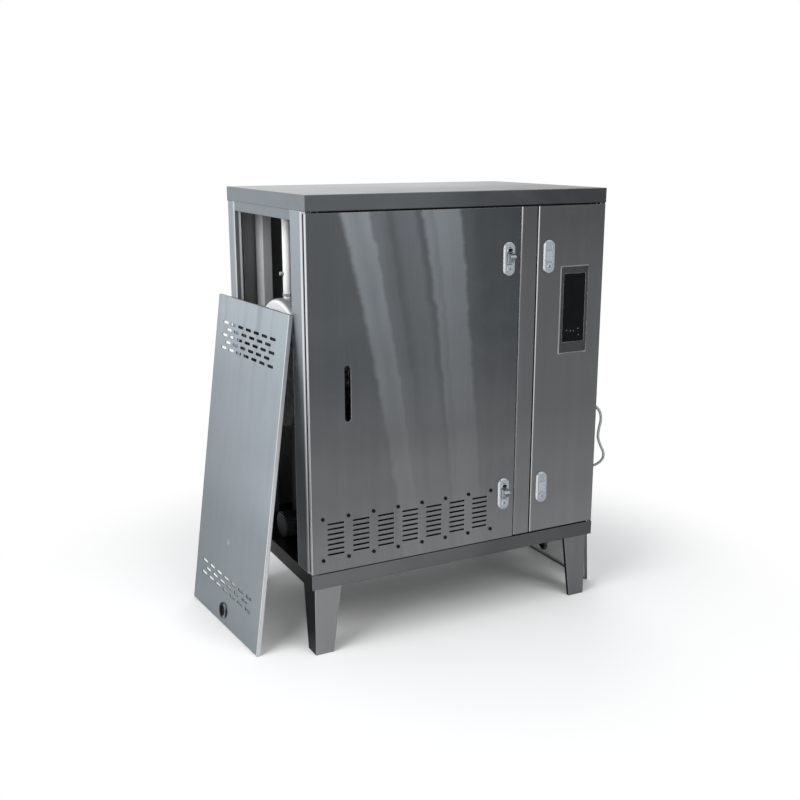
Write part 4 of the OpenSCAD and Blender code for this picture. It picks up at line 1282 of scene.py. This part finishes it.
def add_cable(finishes):
    """The grey cable that hangs out of the right opening and goes back in."""
    ends = [at(BLOCK_X, BLOCK_Y, z) for z in BLOCK_RISES]
    leads = [at(BLOCK_X, BLOCK_Y - CABLE_LEAD, z) for z in BLOCK_RISES]
    loop = [at(CABINET_WIDTH + x, y, TRAY_TOP + z) for x, y, z in CABLE_LOOP]
    points = smooth_route([ends[0], leads[0], *loop, leads[1], ends[1]])
    curve = bpy.data.curves.new("hanging_cable_sheath", "CURVE")
    curve.dimensions = "3D"
    curve.bevel_depth = mm(CABLE_D / 2)
    curve.bevel_resolution = 6
    curve.use_fill_caps = True
    spline = curve.splines.new("POLY")
    spline.points.add(len(points) - 1)
    for spot, point in zip(spline.points, points):
        spot.co = (*point, 1.0)
    cable = bpy.data.objects.new("hanging_cable_sheath", curve)
    bpy.context.scene.collection.objects.link(cable)
    curve.materials.append(finishes["sheath"])
    boots = repeat(cable_boot(), ends)
    settle(boots, "cable_boots", [finishes["rubber"]], "cabinet")
    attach(cable, "cabinet")
    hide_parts("hanging_cable")


# Stage

FLOOR_SIZE = 60.0
FLOOR_DROP = mm(0.5)
# Where the floor's shadow starts to run out, and where it has run out
SHADOW_NEAR = 0.75
SHADOW_FAR = 1.5
ROOM_COLOUR = (0.96, 0.98, 1.0, 1.0)
ROOM_STRENGTH = 0.36
WHITE = (1.0, 1.0, 1.0, 1.0)
LAMP_SIZE = 3.0
# Place, height aimed at and power of each lamp
LAMPS = {
    "left_softbox": ((-3.6, -1.2, 3.4), 0.7, 175.0),
    "front_softbox": ((0.9, -3.8, 3.2), 0.6, 95.0),
    "rear_softbox": ((1.5, 3.2, 3.6), 0.8, 50.0),
}


def seen_rays(tree):
    """One for what the camera sees, straight, in metal or through glass."""
    ray = tree.nodes.new("ShaderNodeLightPath").outputs
    seen = larger(tree, ray["Is Camera Ray"], ray["Is Glossy Ray"])
    return larger(tree, seen, ray["Is Transmission Ray"])


def finish_floor(floor):
    """A pale floor that keeps the shadow near the cabinet and runs out to white."""
    material, tree, shader = new_material("pale_floor")
    place = object_place(tree)
    mottle = noise(tree, place, size=3.0, detail=3.0, roughness=0.5)
    pale = blend_colour(tree, mottle, (0.93, 0.93, 0.93, 1.0), (0.95, 0.95, 0.95, 1.0))
    wire(tree, shader, Base_Color=pale, Roughness=0.9, Specular_IOR_Level=0.1)
    away = vector_node(tree, "LENGTH", place)
    far = span(tree, away, SHADOW_NEAR, SHADOW_FAR, easing="SMOOTHSTEP")
    share = times(tree, far, seen_rays(tree))
    white = node(tree, "ShaderNodeEmission", Color=WHITE, Strength=1.0)
    mix = node(tree, "ShaderNodeMixShader", i0=share, i1=shader.outputs[0], i2=white.outputs[0])
    wire(tree, tree.nodes["Material Output"], i0=mix.outputs[0])
    floor.data.materials.append(material)


def add_floor():
    start_piece()
    bpy.ops.mesh.primitive_plane_add(size=FLOOR_SIZE, location=(0, 0, -FLOOR_DROP))
    floor = bpy.context.object
    floor.name = "floor"
    finish_floor(floor)


def add_room():
    """Soft light from all round, in front of plain white."""
    world = bpy.data.worlds.new("studio")
    bpy.context.scene.world = world
    world.use_nodes = True
    tree = world.node_tree
    tree.nodes.clear()
    soft = node(tree, "ShaderNodeBackground", Color=ROOM_COLOUR, Strength=ROOM_STRENGTH)
    white = node(tree, "ShaderNodeBackground", Color=WHITE, Strength=1.0)
    mix = node(tree, "ShaderNodeMixShader", i0=seen_rays(tree), i1=soft.outputs[0], i2=white.outputs[0])
    node(tree, "ShaderNodeOutputWorld", i0=mix.outputs[0])


def add_lamp(name, place, aim_height, power):
    lamp = bpy.data.lights.new(name, "AREA")
    lamp.shape = "SQUARE"
    lamp.size = LAMP_SIZE
    lamp.energy = power
    holder = bpy.data.objects.new(name, lamp)
    bpy.context.scene.collection.objects.link(holder)
    holder.visible_glossy = False
    holder.location = place
    aim = Vector((0, 0, aim_height)) - Vector(place)
    holder.rotation_euler = aim.to_track_quat("-Z", "Y").to_euler()


def add_stage():
    add_floor()
    add_room()
    for name, (place, aim_height, power) in LAMPS.items():
        add_lamp(name, place, aim_height, power)
    bpy.context.scene.view_settings.view_transform = "Standard"


def main():
    set_up_camera()
    finishes = make_finishes()
    add_cable(finishes)
    finish_solids(finishes)
    add_vent_screws(finishes)
    add_key_barrels(finishes)
    add_release_holes(finishes)
    add_grommet_skins(finishes)
    add_display_bead(finishes)
    add_display_dots(finishes)
    add_control_screws(finishes)
    add_pump_bolts(finishes)
    add_back_screws(finishes)
    add_stage()


main()
